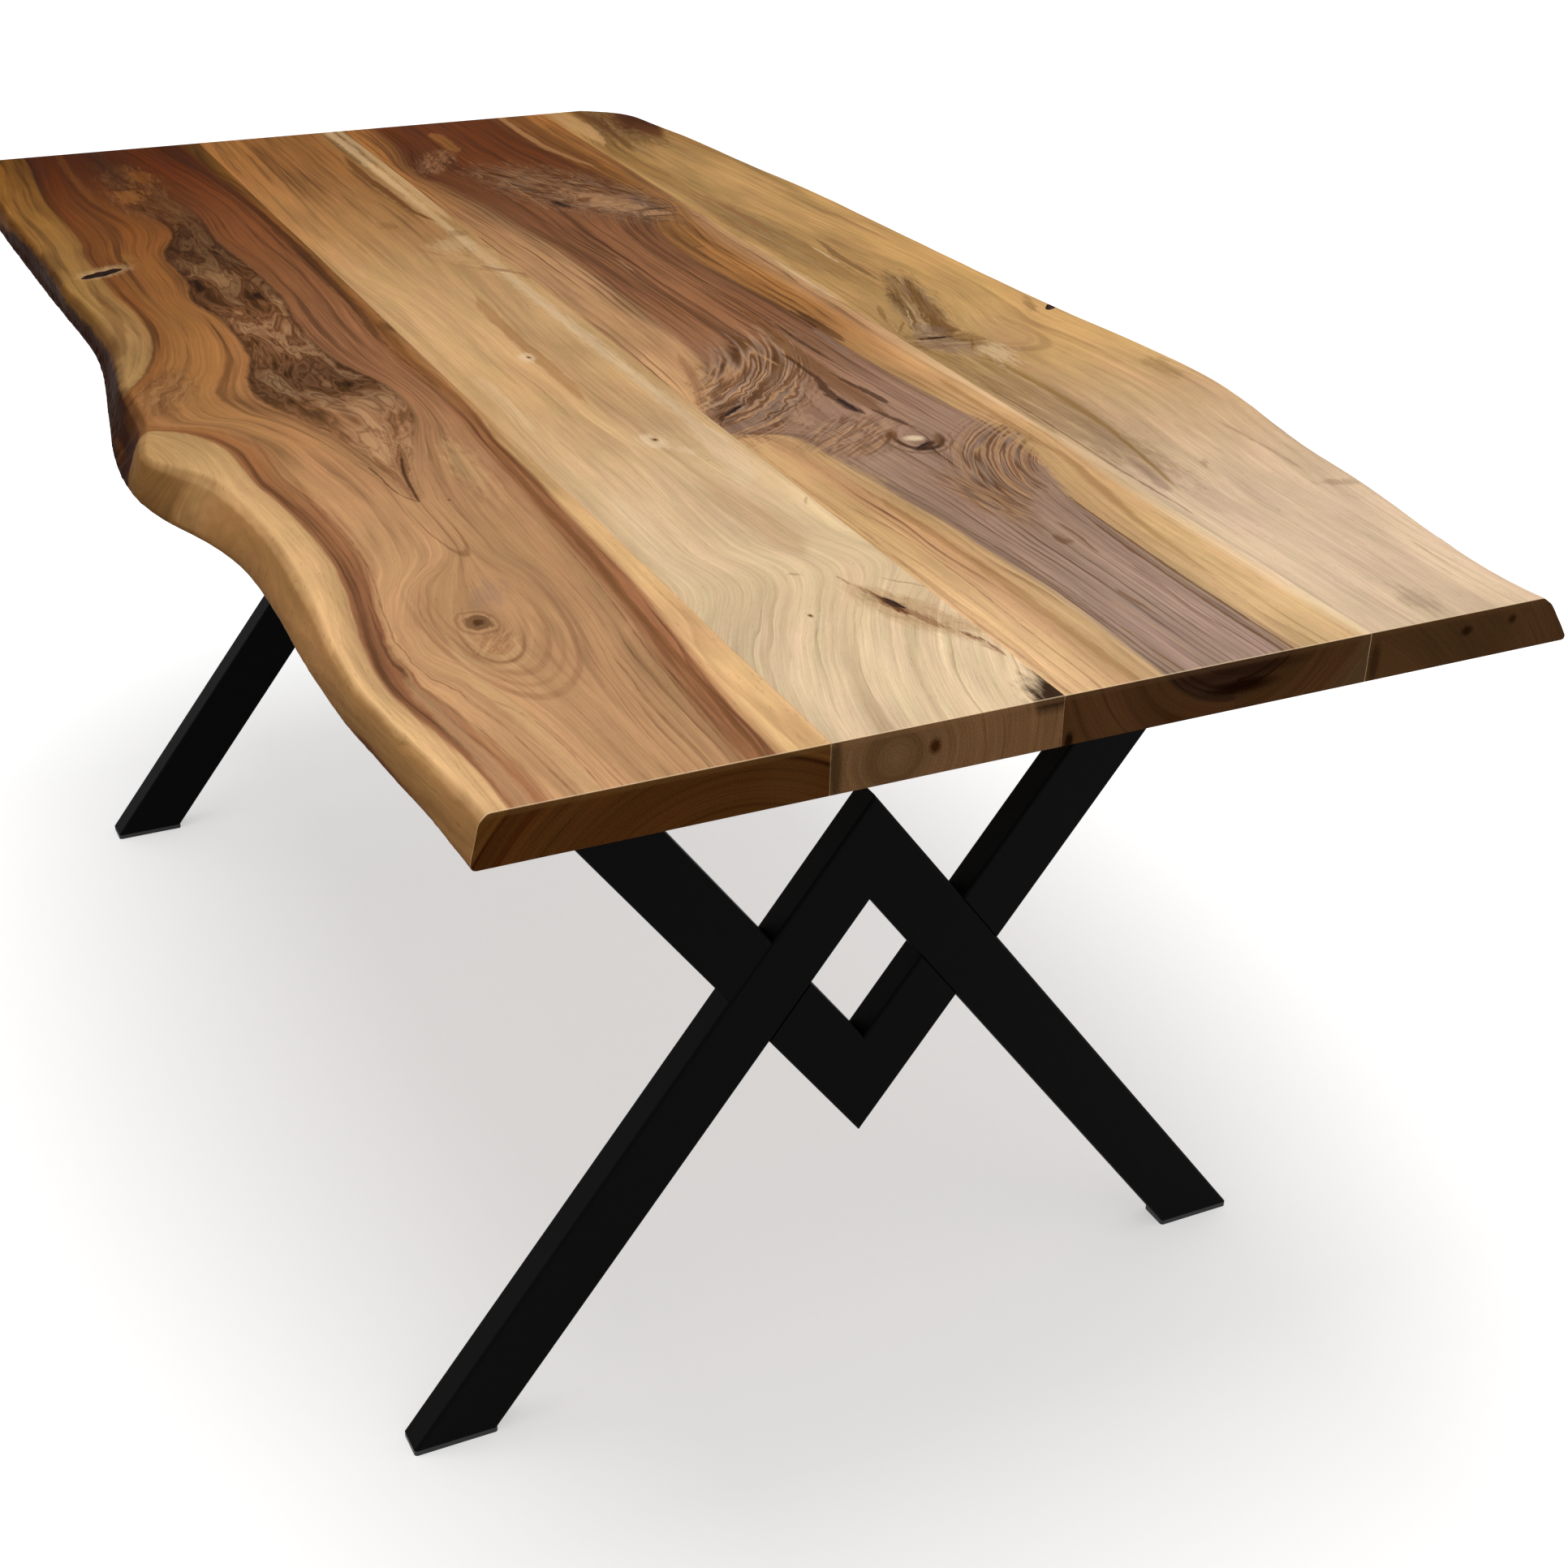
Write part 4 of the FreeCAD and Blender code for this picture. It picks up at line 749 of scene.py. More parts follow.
INNER_REAR = {
    "near": (-50, 480),
    "pith": (145, 808),
    "end": (0.145, 0.095, 0.062),
    "seed": 23.0,
    "lines": [
        (4, [(-850, -4), (850, -4)]),
        (50, [(-850, 45), (-750, 42), (-620, 22), (-560, 34), (-470, 48), (-300, 62), (-170, 67), (30, 66), (130, 56),
            (180, 44), (220, 20), (245, 4), (262, -2), (296, -2), (306, 10), (316, 40), (335, 56), (430, 66),
            (560, 79), (700, 88), (850, 86)]),
        (60, [(-850, 120), (-600, 128), (-440, 140), (-300, 130), (-100, 132), (100, 138), (250, 146), (375, 142),
            (500, 140), (700, 138), (850, 138)]),
        (60, [(-850, 196), (-720, 194), (-640, 203), (-570, 210), (-500, 214), (-450, 216), (-400, 222), (-350, 202),
            (-300, 190), (-200, 184), (-100, 190), (0, 200), (150, 204), (300, 210), (400, 218), (440, 216),
            (500, 204), (560, 195), (700, 190), (850, 192)]),
        (40, [(-850, 266), (850, 266)]),
    ],
    "tones": {
        "near": [(0, "straw", 1.15), (0.35, "straw", 1.05), (0.6, "tan", 1.2), (0.93, "straw", 0.95),
            (1.05, "plum", 1.1), (1.4, "plum", 1.3), (2, "plum", 1.35), (2.7, "plum", 1.35), (2.95, "plum", 1.15),
            (3.06, "straw", 0.85), (3.3, "straw", 1.0), (3.7, "straw", 1.15), (4, "cream", 1.05)],
        "middle": [(0, "tan", 1.02), (0.4, "tan", 0.95), (0.94, "tan", 0.85), (1.06, "chestnut", 0.85),
            (1.5, "chestnut", 0.95), (2.2, "chestnut", 1.0), (2.6, "chestnut", 0.85), (2.94, "chestnut", 0.7),
            (3.08, "amber", 1.0), (3.5, "amber", 1.2), (3.8, "tan", 0.95), (4, "straw", 0.8)],
        "far": [(0, "amber", 1.15), (0.4, "amber", 1.1), (0.9, "umber", 1.05), (1.06, "russet", 0.85),
            (1.5, "russet", 1.1), (2, "russet", 1.15), (2.9, "russet", 0.95), (3.1, "umber", 1.05),
            (3.5, "amber", 0.85), (4, "amber", 0.95)],
    },
    "rings": (6, 6, [(-850, 0.8), (850, 0.9)]),
    "curls": [(240, 70, 170, 150, 9), (-430, 175, 150, 110, 9)],
    "knots": [(368, 142, 26, 1.3, 0), (-428, 178, 26, 1.6, 0)],
    "twisted": [(0.3, "smoke", 0.9), (0.37, "umber", 0.9), (0.43, "plum", 0.95), (0.47, "tan", 1.0),
        (0.5, "chestnut", 0.85), (0.54, "umber", 0.7), (0.575, "plum", 1.0), (0.62, "tan", 1.15),
        (0.68, "chestnut", 0.9)],
    "swirls": [
        (-480, 165, 24, 360, 150, 90, 14, 0.65, 0.7), (-405, 182, 50, 110, 60, 34, 11, 0.6, 0.95),
        (-665, 58, -28, 130, 50, 60, 10, 0.4, 1.0), (185, 78, -28, 340, 120, 210, 14, 0.85, 0.95, 45, -105),
        (345, 96, -55, 130, 100, 110, 14, 0.6, 1.0), (452, 178, -26, 250, 92, 220, 11, 0.85, 1.0, 506, 316),
        (510, 128, 10, 180, 44, 160, 12, 0.5, 1.05),
    ],
    "end_spots": [
        ("bark", 0.9, 150, 744, 62, 13), ("smoke", 0.6, 152, 756, 110, 10), ("bark", 0.95, 6, 729, 8, 16),
        ("tan", 0.06, 48, 745, 90, 60),
    ],
    "drift": [(-850, 1.2, 0.45), (-600, 1, 0.35), (-350, 0.95, 0), (0, 1.05, 0), (300, 1, 0), (480, 0.87, 0),
        (760, 0.98, -0.35)],
    "loops": [("smoke", 0.85, 2.8, 368, 147, -14, 56, 42), ("umber", 0.5, 1.4, 366, 146, -14, 80, 62)],
    "streaks": [
        ("amber", 0.5, 1.5, 5, [(215, 240, -4), (250, 240, 5), (400, 240, 6), (450, 243, 6), (520, 235, 7),
            (600, 222, 6), (680, 215, 5), (760, 212, -4)]),
        ("umber", 0.75, 0.6, 1, [(500, 203, -1), (560, 196, 1.6), (640, 193, 1.6), (760, 191, 1.6), (850, 194, 1.6)]),
        ("umber", 0.75, 0.6, 1, [(540, 192, -1), (600, 186, 1.6), (700, 183, 1.8), (760, 182, 1.8), (850, 186, 1.6)]),
        ("umber", 0.5, 0.6, 1, [(640, 170, -1), (700, 168, 1.5), (760, 165, 1.5), (820, 170, 1.2), (850, 172, 1)]),
        ("umber", 0.6, 1.2, 2, [(560, 160, -2), (600, 160, 2.5), (640, 157, 2), (680, 158, -2)]),
        ("umber", 0.6, 1.2, 2.5, [(690, 132, -2), (720, 131, 3), (750, 133, 2.5), (790, 136, -2)]),
        ("tan", 0.5, 1, 2, [(700, 112, -2), (740, 118, 1.6), (780, 121, 1.6), (850, 118, 1)]),
        ("tan", 0.5, 1, 2, [(740, 97, -2), (790, 100, 1.8), (850, 96, 1.5)]),
        ("umber", 0.6, 0.6, 1.2, [(520, 80, -1), (560, 86, 1.2), (700, 92, 1.4), (850, 92, 1.4)]),
        ("umber", 0.6, 0.6, 1.2, [(540, 90, -1), (600, 96, 1.2), (850, 99, 1.2)]),
        ("tan", 0.6, 1.2, 4, [(470, 142, -3), (510, 141, 4), (560, 140, 4), (590, 139, -3)]),
        ("umber", 0.65, 3, 10, [(-120, 158, -6), (0, 156, 8), (120, 148, 14), (220, 146, 16), (290, 146, 11),
            (340, 152, -6)]),
        ("smoke", 0.8, 2.0, 4, [(90, 134, -3), (130, 134, 4), (200, 132, 5), (240, 126, 7), (285, 128, 6),
            (310, 134, -3)]),
        ("smoke", 0.75, 1.8, 3, [(120, 150, -3), (200, 154, 3), (250, 161, 5), (280, 163, 3), (295, 163, -2)]),
        ("smoke", 0.7, 1.8, 3, [(270, 140, -3), (310, 146, 5), (340, 154, 4), (356, 158, -2)]),
        ("smoke", 0.7, 1.5, 3, [(-40, 168, -3), (60, 168, 2.5), (160, 170, 2.5), (220, 176, -2)]),
        ("amber", 0.45, 2, 5, [(440, 48, -4), (475, 50, 5), (560, 55, 7), (650, 60, 7), (850, 60, 7)]),
        ("chestnut", 0.5, 0.6, 1.2, [(480, 20, -1), (500, 22, 1.2), (560, 30, 1.3), (650, 33, 1.3), (850, 30, 1.3)]),
        ("cream", 0.4, 0.8, 2, [(-170, 262, -1), (-120, 262, 4), (-30, 262, 4), (10, 262, -1)]),
        ("umber", 0.5, 0.8, 1.2, [(-230, 218, -1), (-210, 218, 1.4), (-150, 217, 1.4), (0, 219, 1.4), (20, 220, -1)]),
        ("smoke", 0.6, 2, 5, [(-10, 208, -4), (20, 209, 6), (60, 210, 9), (100, 210, 6), (135, 207, -4)]),
        ("smoke", 0.8, 0.8, 1.2, [(0, 203, -1), (10, 203, 1.6), (60, 203, 1.6), (75, 203, -1)]),
        ("plum", 0.5, 2, 5, [(50, 198, -4), (80, 198, 6), (140, 198, 6), (160, 197, -4)]),
        ("smoke", 0.6, 0.6, 1, [(-300, 150, -1), (-280, 150, 1.2), (50, 153, 1.2), (70, 153, -1)]),
        ("smoke", 0.6, 0.6, 1, [(-290, 158, -1), (-260, 158, 1.2), (40, 161, 1.2), (60, 161, -1)]),
        ("tan", 0.5, 1.5, 3, [(50, 116, -2), (90, 114, 3), (140, 116, 3), (165, 118, -2)]),
        ("tan", 0.4, 1.5, 3, [(-245, 107, -2), (-200, 108, 3.5), (-150, 108, -2)]),
        ("smoke", 0.7, 1.5, 2, [(222, 56, -2), (232, 44, 3), (255, 14, 4), (270, 4, 3), (285, -3, -2)]),
        ("chestnut", 0.5, 1.5, 4, [(70, 50, -3), (100, 42, 5), (150, 30, 6), (200, 15, 5), (220, 4, 3)]),
        ("umber", 0.7, 2, 5, [(-860, 226, 10), (-700, 228, 10), (-600, 236, 6), (-560, 240, -4)]),
        ("tan", 0.5, 1.5, 3, [(-860, 205, 5), (-700, 203, 6), (-650, 210, 6), (-600, 222, 5), (-565, 233, -3)]),
        ("tan", 0.4, 1, 1.5, [(-575, 108, -1), (-560, 108, 1.8), (-430, 108, 1.8), (-415, 108, -1)]),
        ("russet", 0.5, 2, 4, [(-590, 212, -3), (-560, 213, 6), (-510, 214, 6), (-490, 214, -3)]),
        ("amber", 0.5, 2, 6, [(-815, 100, -4), (-780, 100, 12), (-720, 100, 12), (-690, 98, -4)]),
        ("smoke", 0.5, 2, 4, [(-670, 68, -3), (-650, 70, 7), (-630, 72, 7), (-610, 76, -3)]),
        ("umber", 0.5, 1.2, 2.5, [(-860, 8, 2), (-700, 8, 2.5), (-520, 7, 2), (-490, 6, -2)]),
    ],
    "spots": [
        ("tan", 0.5, 0.6, -440, 178, 24, 130, 44), ("straw", 0.4, 0.7, 440, 58, 2, 150, 28),
        ("umber", 0.8, 0.3, 360, 128, -30, 30, 5), ("cream", 0.85, 0.2, 368, 142, 80, 20, 15),
        ("umber", 0.7, 0.4, 380, 160, -30, 34, 12), ("smoke", 0.85, 0.4, 389, 143, -62, 40, 12),
        ("russet", 0.7, 0.4, 354, 126, -35, 30, 7), ("umber", 0.6, 0.5, 612, 145, 0, 24, 10),
        ("umber", 0.5, 0.4, -232, 205, 85, 26, 8), ("smoke", 0.9, 0.35, -440, 129, 10, 44, 13),
        ("russet", 0.7, 0.5, -447, 160, 0, 24, 14), ("russet", 0.6, 0.5, -408, 154, 0, 22, 14),
        ("tan", 0.6, 0.5, -368, 214, 60, 40, 22), ("smoke", 0.75, 0.3, -386, 220, 85, 48, 6),
        ("smoke", 0.65, 0.3, -358, 218, 80, 44, 6), ("russet", 0.6, 0.5, -550, 175, 0, 40, 16),
        ("russet", 0.8, 0.4, -825, 110, 0, 30, 24),
    ],
}


# How much red, green and blue is left in late wood, early wood, on a live side as painted shade, and in broad clouds.
LATE_WOOD, EARLY_WOOD = (0.3, 0.2, 0.14), (1.1, 1.12, 1.16)
LIVE_SIDE_SHADE = (0.56, 0.46, 0.35)
COOL_CLOUD, WARM_CLOUD = (0.98, 0.985, 0.93), (1.04, 0.985, 1.0)


def walnut(name, figure):
    """Walnut, planed and sanded, with an oil finish: satin, with growth lines, fibres and open pores that
    follow the tree, paler sapwood, darker heartwood, and end grain that drinks more oil and darkens, made darker
    still with painted shade."""
    sizes = settings("table_boards")
    material, add = new_material(name)

    def tint(shade, strength=1.0):
        return [c * strength for c in getattr(sizes, shade)]

    def patches(along, wide, detail=2, seed=0, row=None):
        """Noise in patches of a given length and width in millimetres, with a seed for each layer."""
        spot = add("CombineXYZ", add("Math.DIVIDE", x, along), add("Math.DIVIDE", row or y, wide),
                   add("Math.MULTIPLY_ADD", z, 1 / 90, figure["seed"] + seed))
        return add("TexNoise", {"Vector": spot, "Scale": 1.0, "Detail": detail, "Roughness": 0.55})

    def oval(spot, at_x, at_y, turn, long, wide):
        """Places counted from an oval's centre, and how far out they lie, with the rim at 1."""
        inside = add("Mapping", spot, (at_x, at_y, 0), (0, 0, math.radians(turn)), (long / 2, wide / 2, 1),
                     vector_type="TEXTURE")
        return inside, add("VectorMath.LENGTH", inside)

    def stain(mask, strength, tone):
        """Lays a tone over the wood where a mask says."""
        return add("Mix.RGBA", add("Math.MULTIPLY", mask, strength), shade, tone)

    place = counted_in(add, MM)
    x, y, z = (add("SeparateXYZ", place, out=axis) for axis in range(3))

    # A growth ring is a circle round the pith, so a place inside the board takes the colour of
    # the place on the top face that its ring comes up to.
    pith_y, pith_z = figure["pith"]
    top, end = TOP / MM, HALF_LENGTH / MM
    across = add("Math.SUBTRACT", y, pith_y)
    down = add("Math.SUBTRACT", z, pith_z)
    reach = add("Math.MULTIPLY_ADD", down, down, add("Math.MULTIPLY", across, across))
    reach = add("Math.SUBTRACT", reach, (top - pith_z) ** 2)
    side = add("Mix.FLOAT", add("Math.GREATER_THAN", reach, 0), -1.0, add("Math.SIGN", across))
    y = add("Math.MULTIPLY_ADD", side, add("Math.SQRT", add("Math.ABSOLUTE", reach)), pith_y)

    # The grain wanders slowly, and a little more at a smaller size.
    y = add("Math.ADD", y, add("MapRange", patches(320, 60, detail=1, seed=1), 0.2, 0.8, -4, 4))
    y = add("Math.ADD", y, add("MapRange", patches(70, 16, seed=2), 0.2, 0.8, -1.2, 1.2))

    # In a curl the grain is thrown into waves.
    for curl_x, curl_y, long, wide, throw in figure["curls"]:
        _, out = oval(add("CombineXYZ", x, y, 0.0), curl_x, curl_y, 0, long, wide)
        wave = add("MapRange", patches(34, 22, seed=12), 0.25, 0.75, -throw, throw)
        y = add("Math.MULTIPLY_ADD", wave, add("MapRange", out, 1.1, 0.3, **SOFT), y)
    straight_y = y
    on_top = add("CombineXYZ", x, straight_y, 0.0)

    # The grain parts round each knot, as water does round a post.
    rounds = []
    for knot_x, knot_y, radius, stretch, core in figure["knots"]:
        off_x = add("Math.MULTIPLY", add("Math.SUBTRACT", x, knot_x), 1 / stretch)
        off_y = add("Math.SUBTRACT", y, knot_y)
        near = add("Math.MULTIPLY_ADD", off_x, off_x, add("Math.MULTIPLY", off_y, off_y))
        pull = add("Math.DIVIDE", -0.65 * radius * radius, add("Math.ADD", near, radius * radius))
        y = add("Math.MULTIPLY_ADD", off_y, pull, y)
        if core:
            rounds.append((add("Math.SQRT", near), core))

    # Tone across the board, counted from line to line, and the grain's own row, which runs along the lines.
    bounds = [add("FloatCurve", {"Value": x}, points=line) for _, line in figure["lines"]]
    count = row = 0
    for (wide, _), first, second in zip(figure["lines"][1:], bounds, bounds[1:]):
        part = add("MapRange", y, first, second)
        count = add("Math.ADD", count, part)
        row = add("Math.MULTIPLY_ADD", part, wide, row)
    if "arcs" in figure:
        # From here to the near end the rings come up as circles.
        start, stop, centre_x, centre_y, radius = figure["arcs"]
        circle = add("CombineXYZ", add("Math.SUBTRACT", x, centre_x), add("Math.SUBTRACT", y, centre_y), 0.0)
        circle = add("Math.SUBTRACT", radius, add("VectorMath.LENGTH", circle))
        row = add("Mix.FLOAT", add("MapRange", x, start, stop, **SOFT), row, circle)
    last = len(bounds) - 1
    fray = add("MapRange", patches(260, 3.5, detail=3, seed=3), 0.25, 0.75, -0.06, 0.06)
    share = add("Math.MULTIPLY", add("Math.ADD", count, fray), 1 / last)
    near, middle, far = (
        add("ValToRGB", share, stops=[(at / last, tint(*tone)) for at, *tone in figure["tones"][part]])
        for part in ("near", "middle", "far")
    )
    # Paler near tones and darker far tones are partly the wood's own and partly painted light falling off from the
    # near end to the far end.
    shade = add("Mix.RGBA", add("MapRange", x, *figure["near"], **SOFT), middle, near)
    shade = add("Mix.RGBA", add("MapRange", x, -100, -800, **SOFT), shade, far)

    # Broad clouds in lightness and in hue.
    cloudy = add("MapRange", patches(150, 20, detail=3, seed=6, row=row), 0.3, 0.7, 0.86, 1.14)
    shade = add("VectorMath.SCALE", shade, cloudy)
    warm = add("MapRange", patches(90, 14, seed=9, row=row), 0.3, 0.7)
    shade = add("VectorMath.MULTIPLY", shade, add("Mix.RGBA", warm, COOL_CLOUD, WARM_CLOUD))

    # Each year's growth darkens slowly towards its late wood and then starts pale again. The lines
    # are stronger in dark heartwood than in sapwood.
    spacing, sway, strengths = figure["rings"]
    ring_row = add("Math.ADD", row, add("MapRange", patches(170, 34, detail=1, seed=4), 0, 1, -sway, sway))
    uneven = add("TexNoise", {"W": ring_row, "Scale": 0.05, "Detail": 1.0}, noise_dimensions="1D")
    years = add("Math.MULTIPLY_ADD", uneven, 3.0, add("Math.MULTIPLY", ring_row, 1 / spacing))
    season = add("Math.FRACT", years)
    late = add("Math.MULTIPLY", add("MapRange", season, 0.4, 0.93, **SOFT), add("MapRange", season, 1.0, 0.93))
    luck = add("TexWhiteNoise", {"W": add("Math.FLOOR", years)}, noise_dimensions="1D", out="Value")
    dark = add("MapRange", add("SeparateXYZ", shade, out=1), 0.10, 0.45, 1.0, 0.45)
    force = add("Math.MULTIPLY", add("FloatCurve", {"Value": x}, points=strengths), dark)
    strong = add("MapRange", patches(190, 22, detail=1, seed=14, row=row), 0.38, 0.62, 0.25, 1.2)
    force = add("Math.MULTIPLY", force, strong)
    mask = add("Math.MULTIPLY", add("Math.MULTIPLY", late, add("MapRange", luck, 0, 1, 0.1, 1.0)), force)
    early = add("Math.MULTIPLY", add("MapRange", season, 0.18, 0.0), force)
    shade = add("VectorMath.MULTIPLY", shade, add("Mix.RGBA", early, (1, 1, 1), EARLY_WOOD))
    shade = add("VectorMath.MULTIPLY", shade, add("Mix.RGBA", mask, (1.04, 1.04, 1.04), LATE_WOOD))

    # Long dark streaks run through the heartwood.
    long_dark = add("MapRange", patches(230, 6, seed=13, row=row), 0.48, 0.68)
    heart = add("MapRange", add("SeparateXYZ", shade, out=1), 0.3, 0.13)
    shade = stain(add("Math.MULTIPLY", long_dark, heart), 0.6, tint("smoke"))
    torn = add("MapRange", patches(18, 4, detail=3, seed=11), 0.25, 0.75, -1, 1)

    def swirled(spot, detail=3.0, twist=0.9):
        """Wood whose fibres twist: long lobes in the board's tones, each with a dark outline."""
        flow = add("TexNoise", {"Vector": spot, "Scale": 1.0, "Detail": detail, "Roughness": 0.55,
                                "Distortion": twist})
        return add("ValToRGB", flow, stops=[(at, tint(*tone)) for at, *tone in figure["twisted"]])

    for swirl_x, swirl_y, turn, long, wide, grain_long, grain_wide, strength, light, *bend in figure["swirls"]:
        _, out = oval(on_top, swirl_x, swirl_y, turn, long, wide)
        out = add("Math.MULTIPLY_ADD", torn, 0.25, out)
        if not bend:
            fibres = add("Mapping", on_top, (swirl_x, swirl_y, 0), (0, 0, math.radians(turn)),
                         (grain_long, grain_wide, 1), vector_type="TEXTURE")
            lobes = swirled(fibres)
        else:
            # The fibres sweep round a centre.
            arm = add("VectorMath.SUBTRACT", on_top, (*bend, 0))
            angle = add("Math.ARCTAN2", add("SeparateXYZ", arm, out=1), add("SeparateXYZ", arm, out=0))
            sweep = math.hypot(swirl_x - bend[0], swirl_y - bend[1]) / grain_long
            turns = add("Math.DIVIDE", add("VectorMath.LENGTH", arm), grain_wide)
            lobes = swirled(add("CombineXYZ", add("Math.MULTIPLY", angle, sweep), turns, 0.0), 2.0, 0.3)
        lobes = add("VectorMath.SCALE", lobes, light)
        shade = stain(add("MapRange", out, 1.1, 0.55, **SOFT), strength, lobes)

    if "burl" in figure:
        # Burl: its lobes flow along the board between two of the lines, inside a dark outline.
        first, second, fades, light = figure["burl"]
        depth = add("Math.MINIMUM", add("Math.SUBTRACT", bounds[first], y), add("Math.SUBTRACT", y, bounds[second]))
        depth = add("Math.MULTIPLY_ADD", torn, 1.5, depth)
        flow = add("CombineXYZ", add("Math.MULTIPLY", x, 1 / 90), add("Math.MULTIPLY", row, 1 / 12), 5.0)
        light = add("FloatCurve", {"Value": x}, points=light)
        lobes = add("VectorMath.SCALE", swirled(flow, 3.0, 0.55), light)
        outline = add("Math.MULTIPLY", add("MapRange", depth, 7, 1), add("MapRange", x, 120, -20, 0.2, 0.85))
        lobes = add("Mix.RGBA", outline, lobes, tint("smoke", 0.8))
        fades = add("FloatCurve", {"Value": x}, points=fades)
        shade = stain(add("MapRange", depth, -1, 3), fades, lobes)

    for tone, strength, ragged, soft, points in figure["streaks"]:
        middle = add("FloatCurve", {"Value": x}, points=[(point[0], point[1]) for point in points])
        half = add("FloatCurve", {"Value": x}, points=[(point[0], point[2]) for point in points])
        edge = add("Math.SUBTRACT", half, add("Math.ABSOLUTE", add("Math.SUBTRACT", straight_y, middle)))
        edge = add("Math.MULTIPLY_ADD", torn, ragged, edge)
        shade = stain(add("MapRange", edge, 0, soft, **SOFT), strength, tint(tone))

    # A loop is the near half of an ellipse: a ring that closes round a knot.
    for tone, strength, half, loop_x, loop_y, turn, long, wide in figure["loops"]:
        inside, out = oval(on_top, loop_x, loop_y, turn, long, wide)
        off = add("Math.ABSOLUTE", add("Math.SUBTRACT", out, 1.0))
        off = add("Math.MULTIPLY_ADD", off, wide / 2, add("Math.MULTIPLY", torn, 0.15))
        near_half = add("MapRange", add("SeparateXYZ", inside, out=0), -0.5, 0.3)
        line = add("Math.MULTIPLY", add("MapRange", off, half * 1.5, half * 0.4, **SOFT), near_half)
        shade = stain(line, strength, tint(tone))

    shallow = add("MapRange", z, top - 13, top - 3)
    for tone, strength, ragged, *where in figure["spots"]:
        _, out = oval(on_top, *where)
        out = add("Math.MULTIPLY_ADD", torn, ragged, out)
        patch = add("Math.MULTIPLY", add("MapRange", out, 1.25, 0.4, **SOFT), shallow)
        shade = stain(patch, strength, tint(tone))

    for distance, core in rounds:
        torn_out = add("Math.MULTIPLY_ADD", torn, core / 4, distance)
        wave = add("Math.SINE", add("Math.MULTIPLY", torn_out, 2 * math.pi / (core * 0.7)))
        knot = add("Mix.RGBA", add("MapRange", wave, -1, 1), tint("tan", 1.1), tint("chestnut", 0.85))
        shade = stain(add("MapRange", torn_out, core * 2.3, core), 0.75, knot)
        shade = stain(add("MapRange", torn_out, core * 1.1, core * 0.4), 0.95, tint("umber", 0.62))

    # Fibres, curl across them, and open pores. Real pores are about 0.2 mm wide, too fine to show, so
    # these are wider.
    fibre = add("MapRange", patches(85, 0.9, detail=3, seed=5, row=row), 0.3, 0.7, 0.9, 1.1)
    coarse = add("MapRange", patches(120, 3.2, seed=10, row=row), 0.3, 0.7, 0.92, 1.08)
    curl = add("MapRange", patches(6, 30, seed=7), 0.3, 0.7, 0.99, 1.01)
    for layer in (fibre, coarse, curl):
        shade = add("VectorMath.SCALE", shade, layer)
    pores = add("MapRange", patches(9, 0.55, detail=1, seed=8, row=row), 0.66, 0.74)
    shade = stain(pores, 0.22, tint("smoke"))

    # Along the board the wood gets lighter or darker, and warmer or cooler: partly its own tone and partly painted
    # shade, which makes the far end darker and browner.
    lightness = add("FloatCurve", {"Value": x}, points=[(at, light) for at, light, _ in figure["drift"]])
    warmth = add("FloatCurve", {"Value": x}, points=[(at, warm) for at, _, warm in figure["drift"]])
    far_tint_and_shade = add("VectorMath.SCALE", [c - 1 for c in tint("far_tint_and_shade")], warmth)
    shade = add("VectorMath.MULTIPLY", shade, add("VectorMath.ADD", far_tint_and_shade, (1, 1, 1)))
    shade = add("VectorMath.SCALE", shade, lightness)

    # Live sides are darkened as painted shade where they turn away from the top, with bark left on the lower part.
    ends = add("Math.ABSOLUTE", x)
    upright = add("Math.ABSOLUTE", add("SeparateXYZ", add("TexCoord", out="Normal"), out=2))
    outside = add("MapRange", add("Math.ABSOLUTE", add("SeparateXYZ", place, out=1)), 290, 300)
    live = add("Math.MULTIPLY", add("MapRange", upright, 0.95, 0.5), outside)
    live = add("Math.MULTIPLY", live, add("MapRange", ends, end - 0.8, end - 1.4))
    shade = add("VectorMath.MULTIPLY", shade, add("Mix.RGBA", live, (1, 1, 1), LIVE_SIDE_SHADE))
    # Painted shade, deepening towards the lower edge of a live side.
    foot = add("MapRange", add("Math.MULTIPLY_ADD", torn, 3.0, z), top - 21, top - 39)
    shade = stain(add("Math.MULTIPLY", foot, live), 0.45, tint("umber", 0.45))
    if "bark" in figure:
        left = add("Math.SUBTRACT", add("FloatCurve", {"Value": x}, points=figure["bark"]), z)
        left = add("Math.MULTIPLY_ADD", torn, 4.0, left)
        shade = stain(add("Math.MULTIPLY", add("MapRange", left, -2, 5), live), 0.97, tint("bark"))

    # The sawn ends are dark, and their upper arris is lightened with a painted highlight.
    arris = add("Math.MULTIPLY", add("MapRange", ends, end - 1.7, end - 1.4), add("MapRange", z, top - 5, top - 3))
    shade = stain(arris, 0.45, tint("cream", 1.2))
    end_pores = add("TexNoise", {"Vector": place, "Scale": 0.9, "Detail": 2.0, "Roughness": 0.6})
